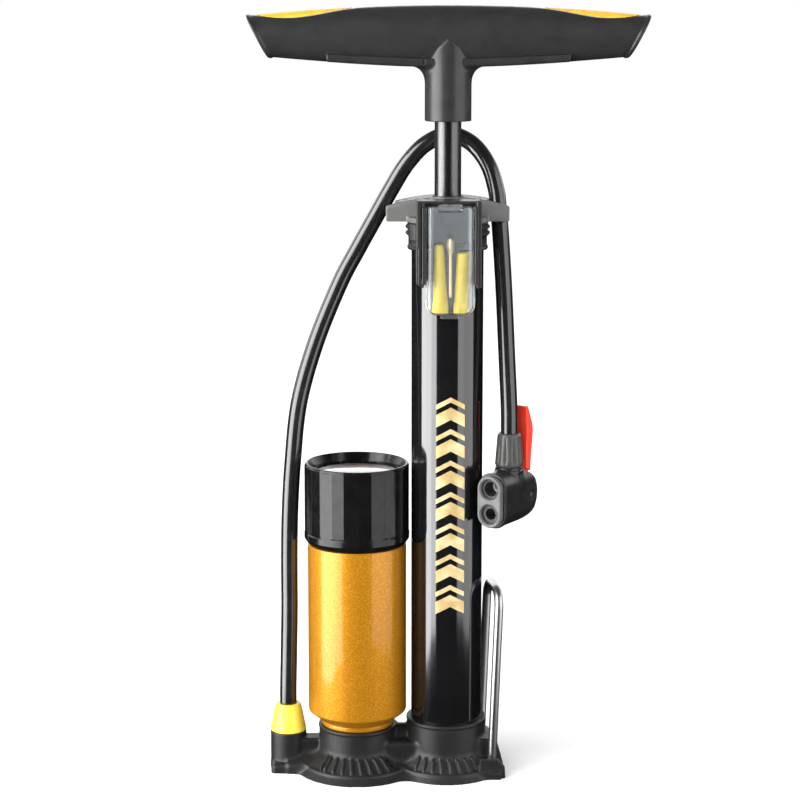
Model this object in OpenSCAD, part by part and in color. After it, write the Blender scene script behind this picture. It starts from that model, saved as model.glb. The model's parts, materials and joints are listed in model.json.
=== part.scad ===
// Small floor pump with an air reservoir, a gauge and a twin pump head.
// Origin on the floor under the barrel axis, +Z up, +X towards the foot pedal, -Y is the front.

/* [Barrel and rod] */
// Outer diameter of the pump barrel
barrel_d = 38; // [37:0.5:39]
// Wall of the barrel
barrel_wall = 1.5; // [1:0.25:2]
// Height of the barrel's top edge above the floor
barrel_top = 297; // [296:0.5:298]
// Diameter of the piston rod
rod_d = 14; // [12:0.5:14]

/* [Handle] */
// Length of the handle from tip to tip
handle_len = 210; // [190:5:220]
// Depth of the grip bar
grip_depth = 25; // [25:0.5:31]
// Highest point of the handle with the rod a little out
handle_top = 411.7; // [408:0.1:414]
// Outer diameter of the handle's neck
neck_d = 24.4; // [22:0.2:25]

/* [Reservoir and gauge] */
// Distance from the barrel axis to the reservoir axis
tank_dist = 48.3; // [48:0.1:49]
// Outer diameter of the reservoir
tank_d = 53; // [50:0.5:53.5]
// Outer diameter of the gauge cap
gauge_d = 56.2; // [55:0.2:56.6]
// Height of the gauge cap's rim above the floor
gauge_top = 170; // [168:0.5:172]
// Number of flats round the gauge cap
gauge_flats = 24; // [16:1:30]

/* [Hose and pump head] */
// Outer diameter of the hose
hose_d = 9; // [8:0.1:9]
// Distance from the barrel axis to the hose port axis
port_dist = 86; // [85.5:0.5:86.5]
// Turn of the pump head about the hose
head_yaw = 33; // [28:1:38]
// Bore of the rubber gland for wide valves
schrader_bore = 7.9; // [7.8:0.1:8.2]
// Bore of the rubber gland for narrow valves
presta_bore = 6.2; // [6:0.1:6.6]

/* [Accessory case] */
// Width of the clear case
case_w = 26.2; // [25:0.2:26.6]
// Depth of the clear case
case_depth = 11.6; // [11.2:0.2:12]
// Height of the clear case
case_h = 56.2; // [54:0.2:58]

/* [Foot pedal] */
// Diameter of the pedal wire
wire_d = 4.8; // [4:0.2:5]
// Distance between the two legs of the pedal
pedal_span = 30; // [28:1:32]
// Height of the folded pedal's top above the floor
pedal_top = 104; // [80:1:110]
// Turn of the pedal's hinge line about the vertical
pedal_turn = 10; // [0:1:12]

/* [Hidden] */
$fn = 64;
eps = 0.01;

// clearances
fit = 0.06;        // running fit, radial
gap = 0.3;         // between pieces that move past each other

// barrel and rod
barrel_r = barrel_d / 2;
bore_r = barrel_r - barrel_wall;
rod_r = rod_d / 2;
socket_z = 12;     // floor of both sockets in the base
tube_z = 14;       // lower end of the barrel and of the reservoir
collar_r = 21.3;   // black ring on the barrel top
ridge_r = 22.2;
collar_z = 285;
cap_z = 299.3;     // underside of the cap's disc
boss_r = 8.4;
boss_top = 313;
piston_z = 78;     // underside of the piston body, with the rod a little out
piston_h = 13;
bush_z = 279;

// base
foot_h = 4.5;
skirt_h = 8;
tank_foot_r = 30.3;
barrel_foot_r = 28.3;
tank_collar_r = 20.8;
tank_collar_h = 25;
barrel_collar_r = 21.3;
barrel_collar_h = 29;
port_r = 9.7;
port_h = 21;
duct_z = 6.3;
rib_count = 8;
rib_step = 9.5;

// check valve
chamber_r = 5.6;
chamber_z = 2.5;
seat_r = 9;
seat_z = 9;
disc_z = 7.4;
spring_r = 3.6;
spring_wire_r = 0.35;
spring_turns = 4;

// reservoir and gauge
tank_x = -tank_dist;
tank_r = tank_d / 2;
tank_top = 126;
tank_neck_r = 24.2;
tank_neck_top = 134;
gauge_r = gauge_d / 2;
dial_z = 158.9;
dial_r = 24.4;
needle_z = 161.1;
lens_z = 164.1;
spindle_r = 0.9;

// hose and its fittings
port_x = -port_dist;
hose_r = hose_d / 2;
hose_bore = hose_r + 0.3;
nut_top = 36;
barb_top = 24;
head_x = 33;
head_y = -6;
hose_end_z = 172;
hose_sides = 10;
HOSE = [
    [-86, 0, 24], [-86, 0, 42], [-85.5, 0.5, 64], [-85, 1.5, 90], [-85, 3, 116], [-84.5, 5, 142],
    [-83, 8, 168], [-79.5, 12, 200], [-70.5, 16, 232], [-57.5, 19, 264], [-48, 20.5, 282],
    [-38, 21.5, 300], [-29, 22.3, 316], [-21.5, 22.5, 328], [-11.5, 22.5, 338.5], [1, 22.5, 343.5],
    [13, 21, 339], [21.5, 16.5, 328.5], [25.8, 11.8, 315.5], [27.2, 8.7, 303.5], [28.3, 6.2, 290],
    [30, 2.5, 262], [31.6, -1, 228], [32.8, -5, 202], [33, -6, 188], [33, -6, 172]
];

// pump head, in its own frame: +Y to the rear, the hose axis at x = 0, y = 0
port_hi = 160;
port_lo = 146.5;
head_r = 8.2;
head_front = -17.6;
head_turn_y = 3.2;     // centre of the rounded rear end
head_turn_r = 14;
face_r = 6.85;
face_front = -21;
cavity_r = 6.45;
cavity_front = -18.7;
cavity_back = 1;
slot_y = 4.5;
slot_w = 6.6;
slot_z = 145.5;
gland_r = 6.2;
gland_back = -9.9;
pivot_y = 11;
pivot_z = 152.4;
pin_r = 1.5;
cam_r = 4.2;
cam_offset = 2;
stem_r = 2.6;
collar_bottom = 169.2;
collar_top = 187.2;
lever_w = 9.4;
lever_tip = 200.2;

// handle
neck_r = neck_d / 2;
neck_z = 352;
bar_z = 380;           // underside of the bar at the middle
bar_end_top = handle_top - 5.4;
bar_end_low = 385;
tip_in = 11;           // how far the slanted ends run inward at the bottom
half_len = handle_len / 2;
rod_top = 393;
nut_h = 6;
pad_in = 42;
pad_out = 101;
pad_dip = 3.4;

// accessory case and its holder
case_x = 0.6;            // the case sits a little to the right in its holder
case_back = -24.4;
case_wall = 1.2;
case_top = 309.8;
tab_h = 1.8;
holder_top = 313.3;
rail_w = 2.8;
lip_left = 4.6;        // the left rail is the wide one
rail_z = 268.5;
lip_w = 1;
lip_t = 1.2;
plate_t = 1.5;
plate_y = case_back + gap + plate_t;
saddle_z = 290.5;
saddle_left = 20.5;
case_mid = case_back - case_depth / 2;
case_floor = case_top - case_h + case_wall + 0.6;   // the adaptors rest on the rounded corners

// foot pedal, in its own frame: hinge line along Y through x = 0
pedal_x = 22;
pedal_lean = 2.2;       // the folded pedal leans outwards a little
pedal_z = 8;
wire_r = wire_d / 2;
pedal_bend = 9;
block_y = 12;
stub_in = 9;
pocket_x = -3.6;
pocket_y = 18.6;
pocket_wall = 2.9;

// ---------------------------------------------------------------- helpers

module ring(r_out, r_in, h) {
    difference() {
        cylinder(r = r_out, h = h);
        translate([0, 0, -1]) cylinder(r = r_in, h = h + 2);
    }
}

// two circles one above the other, joined, and extruded along Y from y0 to y1
module stadium(r, y0, y1) {
    length = y1 - y0;
    for (z = [port_lo, port_hi])
        translate([0, y1, z]) rotate([90, 0, 0]) cylinder(r = r, h = length);
    translate([-r, y0, port_lo]) cube([2 * r, length, port_hi - port_lo]);
}

module in_head() {
    translate([head_x, head_y, 0]) rotate([0, 0, -head_yaw]) children();
}

module in_pedal() {
    translate([pedal_x, 0, 0]) rotate([0, 0, pedal_turn]) children();
}

// extrudes an outline drawn in XZ along Y, centred on y = 0
module along_y(depth) {
    rotate([90, 0, 0]) linear_extrude(depth, center = true) children();
}

// extrudes an outline drawn in YZ along X, centred on x = 0
module along_x(width) {
    rotate([90, 0, 90]) linear_extrude(width, center = true) children();
}

function unit(v) = v / norm(v);

// point between p1 and p2 on the smooth curve through p0, p1, p2 and p3
function smooth(p0, p1, p2, p3, t) =
    0.5 * (2 * p1 + (p2 - p0) * t + (2 * p0 - 5 * p1 + 4 * p2 - p3) * t * t
        + (3 * p1 - p0 - 3 * p2 + p3) * t * t * t);

function smooth_path(pts, steps) = let (last = len(pts) - 1) [
    for (i = [0 : last - 1], s = [0 : steps - 1])
        smooth(pts[max(i - 1, 0)], pts[i], pts[i + 1], pts[min(i + 2, last)], s / steps),
    pts[last]
];

function heading(path, i) = unit(path[min(i + 1, len(path) - 1)] - path[max(i - 1, 0)]);

// a closed round tube along a path, as one polyhedron
module sweep(path, r, sides, side_way) {
    last = len(path) - 1;
    points = [
        for (i = [0 : last]) let (
            ahead = heading(path, i),
            across = unit(cross(ahead, side_way)),
            up = cross(across, ahead)
        ) for (k = [0 : sides - 1])
            path[i] + r * (cos(360 * k / sides) * across + sin(360 * k / sides) * up)
    ];
    walls = [
        for (i = [0 : last - 1], k = [0 : sides - 1]) let (
            a = i * sides + k,
            b = i * sides + (k + 1) % sides
        ) [a, b, b + sides, a + sides]
    ];
    start = [for (k = [sides - 1 : -1 : 0]) k];
    end = [for (k = [0 : sides - 1]) last * sides + k];
    polyhedron(points = points, faces = concat([start], walls, [end]), convexity = 6);
}

// ---------------------------------------------------------------- base

module foot_outline() {
    translate([tank_x, 0]) circle(r = tank_foot_r);
    circle(r = barrel_foot_r);
    translate([tank_x, -21.5]) square([tank_dist, 43]);
    translate([port_x - port_r, -9]) square([30, 18]);
    translate([port_x + 2, -14.5]) square([20, 29]);
    translate([port_x - 3.7, -8.5]) circle(r = 6);
    translate([port_x - 3.7, 8.5]) circle(r = 6);
    translate([port_x - 3.7, -14.5]) square([8, 29]);
    translate([10, -23.5]) square([20, 47]);
}

// small triangular ribs that stand on a skirt, front and back
module skirt_ribs(r_foot, r_top) {
    for (side = [0, 180], i = [0 : rib_count - 1])
        rotate([0, 0, side - 90 + (i - (rib_count - 1) / 2) * rib_step])
            rotate([90, 0, 0]) linear_extrude(1.6, center = true)
                polygon([
                    [r_top - 0.5, foot_h - 1], [r_foot - 0.5, foot_h - 1], [r_foot - 0.5, foot_h + 1.4],
                    [r_top + 1.2, foot_h + skirt_h + 0.6], [r_top - 0.5, foot_h + skirt_h + 0.6]
                ]);
}

module pedal_block() {
    in_pedal() {
        along_y(2 * block_y) polygon([[-6, 0], [7.4, 0], [6.2, 9], [3.6, 18.5], [-6, 18.5]]);
        for (side = [-1, 1])
            translate([0, side * (pocket_y + pocket_wall / 2), 0])
                along_y(pocket_wall) polygon([[-6, 0], [6.4, 0], [5.8, 7], [2, 10], [-6, 11]]);
    }
}

module base_casting() {
    color("#2b2b2d") difference() {
        union() {
            linear_extrude(foot_h) foot_outline();
            translate([tank_x, 0, foot_h]) cylinder(r1 = tank_foot_r, r2 = tank_collar_r, h = skirt_h);
            translate([0, 0, foot_h]) cylinder(r1 = barrel_foot_r, r2 = barrel_collar_r, h = skirt_h);
            translate([tank_x, 0, 0]) cylinder(r = tank_collar_r, h = tank_collar_h);
            cylinder(r = barrel_collar_r, h = barrel_collar_h);
            translate([port_x, 0, 0]) cylinder(r = port_r, h = port_h);
            translate([port_x, -12, 0]) cube([28, 24, 9]);
            translate([port_x, -6, 0]) cube([28, 12, 17]);
            translate([tank_x, -15, 0]) cube([tank_dist, 30, 18]);
            translate([tank_x, 0, 18]) rotate([0, 90, 0]) cylinder(r = 6.4, h = tank_dist);
            translate([tank_x, 0, 0]) skirt_ribs(tank_foot_r, tank_collar_r);
            skirt_ribs(barrel_foot_r, barrel_collar_r);
            pedal_block();
        }
        translate([0, 0, socket_z]) cylinder(r = barrel_r, h = 40);
        translate([tank_x, 0, socket_z]) cylinder(r = tank_collar_r - 2.8, h = 40);
        translate([0, 0, seat_z]) cylinder(r = seat_r, h = 10);
        translate([0, 0, chamber_z]) cylinder(r = chamber_r, h = 10);
        translate([tank_x, 0, duct_z]) cylinder(r = 2, h = 10);
        translate([port_x, 0, duct_z]) cylinder(r = 2, h = 10);
        translate([port_x, 0, 10]) cylinder(r = 6, h = 20);
        translate([port_x, 0, duct_z]) rotate([0, 90, 0]) cylinder(r = 1.7, h = port_dist);
        in_pedal() for (side = [-1, 1]) {
            translate([pocket_x, side > 0 ? block_y : -pocket_y, foot_h + 0.1])
                cube([20, pocket_y - block_y, 30]);
            translate([0, side * 8.5, pedal_z]) rotate([-90 * side, 0, 0])
                cylinder(r = wire_r + 0.05, h = 12);
        }
    }
}

// ---------------------------------------------------------------- barrel and cap

module barrel_tube() {
    color("#0d0d0e") translate([0, 0, tube_z]) ring(barrel_r, bore_r, barrel_top - tube_z);
}

module barrel_seal() {
    color("#202020") translate([0, 0, socket_z]) ring(barrel_r, bore_r - 2, tube_z - socket_z);
}

module barrel_collar() {
    color("#171718") difference() {
        rotate_extrude() polygon([
            [0, collar_z], [collar_r - 0.8, collar_z], [collar_r, collar_z + 0.8],
            [collar_r, 292], [ridge_r, 293.2], [ridge_r, 294], [collar_r, 295],
            [collar_r, 295.4], [ridge_r, 296.4], [ridge_r, 297.2], [collar_r, 298.2],
            [collar_r, cap_z], [0, cap_z]
        ]);
        translate([0, 0, collar_z - 1]) cylinder(r = barrel_r, h = barrel_top - collar_z + 1);
        translate([0, 0, collar_z]) cylinder(r = rod_r + 1, h = 30);
    }
}

// bar with a slot open at each end: a slot and its front and back fingers are one hose hook
module hook_outline() {
    difference() {
        union() {
            translate([-32.5, -1.5]) square([65, 4.4]);
            translate([-28, -1.5]) square([56, 20.1]);
        }
        for (side = [-1, 1]) {
            translate([side * 27.3, 9]) circle(r = 6.1);
            translate([side * 27.3 + (side < 0 ? -10 : 0), 2.9]) square([10, 12.2]);
        }
    }
}

module top_cap() {
    arch_r = 106;
    color("#4a4a4c") difference() {
        union() {
            translate([0, 0, cap_z]) cylinder(r = collar_r, h = 2.7);
            translate([0, 0, cap_z]) cylinder(r = boss_r, h = boss_top - cap_z);
            intersection() {
                translate([0, 0, cap_z]) linear_extrude(20) hook_outline();
                translate([0, -30, boss_top - 0.6 - arch_r]) rotate([-90, 0, 0])
                    cylinder(r = arch_r, h = 60, $fn = 200);
            }
        }
        translate([0, 0, cap_z - 1]) cylinder(r = rod_r + 0.5, h = 30);
        translate([0, 0, boss_top - 3.5]) cylinder(r = rod_r + 0.9, h = 10);
    }
}

module rod_bush() {
    color("#d8d4c8") difference() {
        translate([0, 0, bush_z]) cylinder(r = bore_r, h = barrel_top - bush_z);
        translate([0, 0, bush_z - 1]) cylinder(r = rod_r + fit, h = 30);
        translate([0, 0, bush_z - 1]) ring(14.5, 10.5, 11);
    }
}

module rod_wiper() {
    color("#1b1b1b") translate([0, 0, boss_top - 3.5]) ring(rod_r + 0.9, rod_r + fit, 3.5);
}

// ---------------------------------------------------------------- check valve

module valve_seat() {
    color("#c9c9c4") translate([0, 0, seat_z]) ring(seat_r, 3, socket_z - seat_z);
}

module valve_disc() {
    color("#262626") {
        translate([0, 0, disc_z]) cylinder(r = 5, h = 1.3);
        translate([0, 0, disc_z - 0.8]) cylinder(r = 2.4, h = 1);
    }
}

module valve_spring() {
    low = chamber_z + spring_wire_r + 0.05;
    high = disc_z - spring_wire_r - 0.05;
    steps = 12 * spring_turns;
    coil = [
        for (i = [0 : steps])
            [spring_r * cos(30 * i), spring_r * sin(30 * i), low + (high - low) * i / steps]
    ];
    color("#b8b8ba") sweep(coil, spring_wire_r, 8, [0, 0, 1]);
}

// ---------------------------------------------------------------- reservoir and gauge

module gauge_tank() {
    color("#d99a1c") translate([tank_x, 0, 0]) difference() {
        rotate_extrude() polygon([
            [0, tube_z], [17.9, tube_z], [17.9, 25.1], [19.3, 25.1], [19.7, 25.6], [19.7, 27.6],
            [19.2, 28.2], [18.6, 28.2], [18.6, 28.8], [20.6, 28.8], [21, 29.2], [tank_r, 33.2],
            [tank_r, tank_top - 0.6], [tank_r - 0.6, tank_top], [tank_neck_r, tank_top],
            [tank_neck_r, tank_neck_top], [0, tank_neck_top]
        ]);
        translate([0, 0, 38]) cylinder(r = tank_r - 1.6, h = tank_top - 40);
        translate([0, 0, 100]) cylinder(r = tank_neck_r - 1.6, h = 50);
        translate([0, 0, 10]) cylinder(r = 2, h = 40);
    }
}

module tank_seal() {
    color("#202020") translate([tank_x, 0, socket_z]) ring(17.5, 12, tube_z - socket_z);
}

module gauge_cap() {
    low_r = gauge_r + 0.15;
    color("#101011") translate([tank_x, 0, 0]) difference() {
        union() {
            intersection() {
                rotate([0, 0, 2.3]) linear_extrude(200) polygon([
                    for (i = [0 : gauge_flats - 1])
                        gauge_r * [cos(360 * i / gauge_flats), sin(360 * i / gauge_flats)]
                ]);
                rotate_extrude() polygon([
                    [0, 130], [gauge_r, 130], [gauge_r, gauge_top - 1.2],
                    [gauge_r - 1.2, gauge_top], [0, gauge_top]
                ]);
            }
            rotate_extrude() polygon([
                [0, tank_top], [tank_r - 0.6, tank_top], [low_r, 129.5], [low_r, 132.4],
                [gauge_r - 0.5, 133.2], [0, 133.2]
            ]);
        }
        translate([0, 0, 120]) cylinder(r = tank_neck_r, h = tank_neck_top - 120);
        translate([0, 0, 130]) cylinder(r = 22.4, h = 60);
        translate([0, 0, dial_z]) cylinder(r = dial_r + 0.2, h = 30);
        translate([0, 0, lens_z + 1.6]) cylinder(r1 = dial_r + 0.2, r2 = gauge_r - 1.6, h = 5);
    }
}

module gauge_lens() {
    color("#e8f0f2", 0.35) translate([tank_x, 0, lens_z]) cylinder(r = dial_r + 0.2, h = 1.6);
}

module gauge_dial() {
    color("#e8552b") translate([tank_x, 0, dial_z]) ring(dial_r, spindle_r + 0.3, 1.1);
}

module gauge_movement() {
    color("#c2a14a") translate([tank_x, 0, 0]) difference() {
        union() {
            translate([0, 0, 127]) cylinder(r = tank_neck_r - 1.7, h = 4);
            translate([-5, -5, 130]) cube([10, 10, 21]);
            translate([-5, -19, 134]) cube([10, 15, 8]);
        }
        translate([0, 0, 140]) cylinder(r = spindle_r + fit, h = 20);
    }
}

module bourdon_tube() {
    color("#b98b3c") translate([tank_x, 0, 138]) rotate([0, 0, -74])
        rotate_extrude(angle = 260) translate([16, 0]) difference() {
            square([3, 7], center = true);
            square([1.8, 5.8], center = true);
        }
}

module gauge_needle() {
    color("#141414") translate([tank_x, 0, needle_z]) rotate([0, 0, -135]) difference() {
        union() {
            cylinder(r = 2.6, h = 1);
            linear_extrude(0.8) polygon([[-1, -1.2], [19.5, -0.25], [19.5, 0.25], [-1, 1.2]]);
            linear_extrude(0.8) polygon([[1, -0.9], [1, 0.9], [-8, 2.3], [-8, -2.3]]);
        }
        translate([0, 0, -1]) cylinder(r = spindle_r, h = 5);
    }
}

module needle_spindle() {
    color("#c9c9cc") translate([tank_x, 0, 142]) cylinder(r = spindle_r, h = needle_z + 1.2 - 142);
}

// ---------------------------------------------------------------- hose and fittings

module hose_barb() {
    color("#c79a3a") translate([port_x, 0, 10]) difference() {
        cylinder(r = 6, h = barb_top - 10);
        translate([0, 0, -1]) cylinder(r = 1.8, h = 20);
    }
}

module hose_nut() {
    color("#f4dc33") translate([port_x, 0, 0]) difference() {
        rotate_extrude() polygon([
            [0, port_h], [9.3, port_h], [9.7, port_h + 0.5], [9.3, port_h + 3],
            [7.2, nut_top - 0.9], [6.3, nut_top], [0, nut_top]
        ]);
        translate([0, 0, port_h - 1]) cylinder(r = 6.3, h = barb_top - port_h + 1.5);
        translate([0, 0, port_h]) cylinder(r = hose_bore, h = 20);
    }
}

module hose() {
    color("#1c1c1d") sweep(smooth_path(HOSE, 2), hose_r, hose_sides, [1, 1, 0.2]);
}

module head_collar() {
    color("#3a3a3b") translate([head_x, head_y, 0]) difference() {
        rotate_extrude() polygon([
            [0, collar_bottom], [6.6, collar_bottom], [7.5, collar_bottom + 1.2],
            [7.4, collar_bottom + 4], [5.9, collar_top - 1], [5.2, collar_top], [0, collar_top]
        ]);
        translate([0, 0, hose_end_z]) cylinder(r = hose_bore, h = 20);
        translate([0, 0, collar_bottom - 1]) cylinder(r = 1.6, h = 10);
        for (i = [0 : 9])
            rotate([0, 0, 36 * i]) translate([8.3, 0, collar_bottom + 2.2]) rotate([0, -6, 0])
                cylinder(r = 1.5, h = 30);
    }
}

module head_body() {
    color("#151516") in_head() difference() {
        union() {
            intersection() {
                stadium(head_r, head_front, 20);
                along_x(30) union() {
                    translate([head_turn_y, (port_hi + port_lo) / 2]) circle(r = head_turn_r);
                    translate([-30, port_lo - 10]) square([30 + head_turn_y, port_hi - port_lo + 20]);
                }
            }
            translate([0, 0, port_hi]) cylinder(r = 7.2, h = collar_bottom - port_hi);
        }
        stadium(cavity_r, head_front - 1, cavity_back);
        translate([0, slot_y + 1, pivot_z]) rotate([90, 0, 0]) cylinder(r = stem_r + gap, h = 8);
        translate([-slot_w / 2, slot_y, slot_z]) cube([slot_w, 30, 40]);
        translate([-15, pivot_y, pivot_z]) rotate([0, 90, 0]) cylinder(r = pin_r, h = 30);
        for (side = [-1, 1])
            translate([side * (head_r - 0.4), pivot_y, pivot_z]) rotate([0, 90, 0])
                cylinder(r = 2.6, h = 0.8, center = true);
        translate([0, 0, port_hi]) cylinder(r = 1.6, h = 20);
    }
}

module head_face() {
    color("#a9a9ab") in_head() difference() {
        stadium(face_r, face_front, head_front);
        stadium(cavity_r, cavity_front, head_front + 1);
        for (port = [[port_hi, 4.5], [port_lo, 4.1]]) translate([0, 0, port[0]]) rotate([90, 0, 0]) {
            cylinder(r = port[1], h = 30);
            translate([0, 0, -face_front - 0.8]) cylinder(r1 = port[1], r2 = port[1] + 0.8, h = 0.9);
        }
    }
}

module gland(z, bore) {
    translate([0, gland_back, z]) rotate([90, 0, 0])
        ring(gland_r, bore / 2, gland_back - cavity_front);
}

module schrader_seal() {
    color("#2c2c2c") in_head() gland(port_hi, schrader_bore);
}

module presta_seal() {
    color("#2c2c2c") in_head() gland(port_lo, presta_bore);
}

module head_plunger() {
    back = gland_back + gap + 2.8;
    color("#d0d0cc") in_head() difference() {
        union() {
            stadium(cavity_r - gap, gland_back + gap, back);
            translate([0, slot_y - 0.4, pivot_z]) rotate([90, 0, 0])
                cylinder(r = stem_r, h = slot_y - 0.4 - back + 1);
        }
        for (port = [[port_hi, 3], [port_lo, 2.4]])
            translate([0, back + 1, port[0]]) rotate([90, 0, 0]) cylinder(r = port[1], h = 10);
    }
}

module lever_pin() {
    color("#c4c4c8") in_head() translate([0, pivot_y, pivot_z]) rotate([0, 90, 0])
        cylinder(r = pin_r, h = 2 * head_r - 1, center = true);
}

module head_lever() {
    color("#d2322a") in_head() difference() {
        union() {
            translate([0, pivot_y - cam_offset, pivot_z]) rotate([0, 90, 0])
                cylinder(r = cam_r, h = slot_w - 2 * gap, center = true);
            along_x(slot_w - 2 * gap) polygon([
                [7.5, 151], [14.5, 150.5], [15.3, 158], [16, 170], [10.4, 170], [9.2, 158]
            ]);
            along_x(lever_w) polygon([
                [10.6, 166.6], [15.2, 164.6], [15.8, 172], [17.8, 185.8], [17.1, 190],
                [12.2, lever_tip], [9.8, lever_tip], [11.2, 186]
            ]);
        }
        translate([-15, pivot_y, pivot_z]) rotate([0, 90, 0]) cylinder(r = pin_r + fit, h = 30);
    }
}

// ---------------------------------------------------------------- piston, rod and handle

module piston_rod() {
    color("#9a9a9c") translate([0, 0, piston_z]) difference() {
        cylinder(r = rod_r, h = rod_top - piston_z);
        translate([0, 0, 30]) cylinder(r = rod_r - 1.5, h = 250);
    }
}

module piston_body() {
    color("#e2e0d8") difference() {
        translate([0, 0, piston_z]) cylinder(r = bore_r - 0.5, h = piston_h);
        translate([0, 0, piston_z + 3]) ring(bore_r + 1, bore_r - 3, 5);
        translate([0, 0, piston_z - 1]) cylinder(r = rod_r, h = 30);
    }
}

module piston_seal() {
    color("#1d1d1d") translate([0, 0, piston_z + 3]) ring(bore_r - fit, bore_r - 3, 5);
}

module piston_nut() {
    color("#b0b0b4") translate([0, 0, piston_z - 6]) difference() {
        union() {
            cylinder(r = 10, h = 5, $fn = 6);
            translate([0, 0, 4.5]) cylinder(r = 13, h = 1.5);
        }
        translate([0, 0, -1]) cylinder(r = 1.5, h = 3);
    }
}

function bar_top(x) = handle_top - (handle_top - bar_end_top) * pow(x / half_len, 2);
function pad_low(x) = let (t = (abs(x) - pad_in) / (pad_out - pad_in))
    bar_top(x) - pad_dip * sin(180 * pow(t, 1.55));

// the grip bar in front view, with slanted ends
module bar_outline() {
    polygon(concat(
        [for (i = [-10 : 10]) let (x = half_len * i / 10) [x, bar_top(x)]],
        [[half_len - tip_in, bar_end_low], [40, bar_z + 0.6], [-40, bar_z + 0.6],
            [tip_in - half_len, bar_end_low]]
    ));
}

// section of the bar: flat sides with round top and bottom
module bar_section() {
    r = grip_depth / 2;
    translate([0, handle_top - r]) circle(r = r);
    translate([0, bar_z + r]) circle(r = r);
    translate([-r, bar_z + r]) square([2 * r, handle_top - bar_z - 2 * r]);
}

module bar() {
    intersection() {
        along_y(60) bar_outline();
        along_x(260) bar_section();
    }
}

module pad_space(side) {
    xs = [for (i = [0 : 16]) pad_in + (pad_out - pad_in) * i / 16];
    along_y(60) polygon(concat(
        [for (x = xs) [side * x, pad_low(x) - 0.05]],
        [[side * pad_out, handle_top + 5], [side * pad_in, handle_top + 5]]
    ));
}

module handle_body() {
    color("#1f1f21") difference() {
        union() {
            difference() {
                bar();
                pad_space(-1);
                pad_space(1);
            }
            translate([0, 0, neck_z]) cylinder(r = neck_r, h = 38);
            intersection() {
                translate([0, 0, 373]) cylinder(r1 = neck_r, r2 = 15.4, h = 10);
                translate([-20, -neck_r, 370]) cube([40, 2 * neck_r, 20]);
            }
        }
        translate([0, 0, neck_z - 1]) cylinder(r = rod_r, h = rod_top + nut_h - neck_z + 1);
    }
}

module handle_pad(side) {
    intersection() {
        bar();
        pad_space(side);
    }
}

module handle_pad_left() {
    color("#f2c530") handle_pad(-1);
}

module handle_pad_right() {
    color("#f2c530") handle_pad(1);
}

module rod_nut() {
    color("#b0b0b4") translate([0, 0, rod_top]) cylinder(r = rod_r - 0.2, h = nut_h - 0.5, $fn = 6);
}

// ---------------------------------------------------------------- accessory case

module case_holder() {
    right = case_x + case_w / 2 + gap;
    left = case_x - case_w / 2 - gap;
    front = case_back - case_depth - gap - lip_t;
    back = -17;
    color("#464648") difference() {
        union() {
            translate([right, front, rail_z]) cube([rail_w, back - front, holder_top - rail_z]);
            translate([left - lip_left, front, rail_z])
                cube([lip_left, back - front, holder_top - rail_z]);
            for (x = [left - eps, right - lip_w])
                translate([x, front, rail_z + 2]) cube([lip_w + eps, lip_t, case_top - rail_z]);
            translate([left - eps, front, case_top + tab_h + gap])
                cube([right - left + 2 * eps, plate_y - front, holder_top - case_top - tab_h - gap]);
            translate([left - eps, plate_y - plate_t, saddle_z])
                cube([right - left + 2 * eps, plate_t, holder_top - saddle_z]);
            translate([0, 0, saddle_z]) intersection() {
                cylinder(r = ridge_r + 1.9, h = cap_z - saddle_z);
                translate([-saddle_left, -40, 0]) cube([saddle_left + right + rail_w, 28, 40]);
            }
        }
        translate([0, 0, 250]) cylinder(r = ridge_r + 0.1, h = 100);
    }
}

module accessory_case() {
    half = case_w / 2;
    low = case_top - case_h;
    color("#dfe6e8", 0.35) translate([case_x, case_mid, 0]) difference() {
        union() {
            along_y(case_depth) case_outline(half, low, case_top, 6);
            translate([-6, -case_depth / 2, case_top - 1]) cube([12, case_wall, 1 + tab_h]);
            translate([-4.5, -1.5, low - 1.6]) cube([9, 3, 2]);
        }
        along_y(case_depth - 2 * case_wall)
            case_outline(half - case_wall, low + case_wall, case_top + 1, 4.8);
    }
}

// front view of the case: square top corners, rounded lower corners
module case_outline(half, low, high, r) {
    translate([-half, low + r]) square([2 * half, high - low - r]);
    translate([r - half, low]) square([2 * (half - r), r + 1]);
    for (side = [-1, 1]) translate([side * (half - r), low + r]) circle(r = r);
}

module nozzle(r_low, r_high, h) {
    difference() {
        union() {
            cylinder(r = r_low, h = 5);
            translate([0, 0, 4.9]) cylinder(r1 = r_low - 0.4, r2 = r_high, h = h - 4.9);
        }
        translate([0, 0, -1]) cylinder(r = 1.3, h = h + 2);
    }
}

module adaptor_tall() {
    color("#f5d84a") translate([case_x - 4.6, case_mid, case_floor]) nozzle(4.1, 2.4, 35);
}

module adaptor_short() {
    color("#f5d84a") translate([case_x + 5.2, case_mid, case_floor]) nozzle(3.7, 3.6, 31);
}

module ball_needle() {
    color("#d9cdb4") translate([case_x + 0.2, case_mid - 2.3, case_floor + 8]) {
        cylinder(r = 0.8, h = 24);
        translate([0, 0, 23]) cylinder(r1 = 1.1, r2 = 2.1, h = 3);
        translate([0, 0, 26]) cylinder(r = 2.1, h = 5);
    }
}

// ---------------------------------------------------------------- foot pedal

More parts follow.
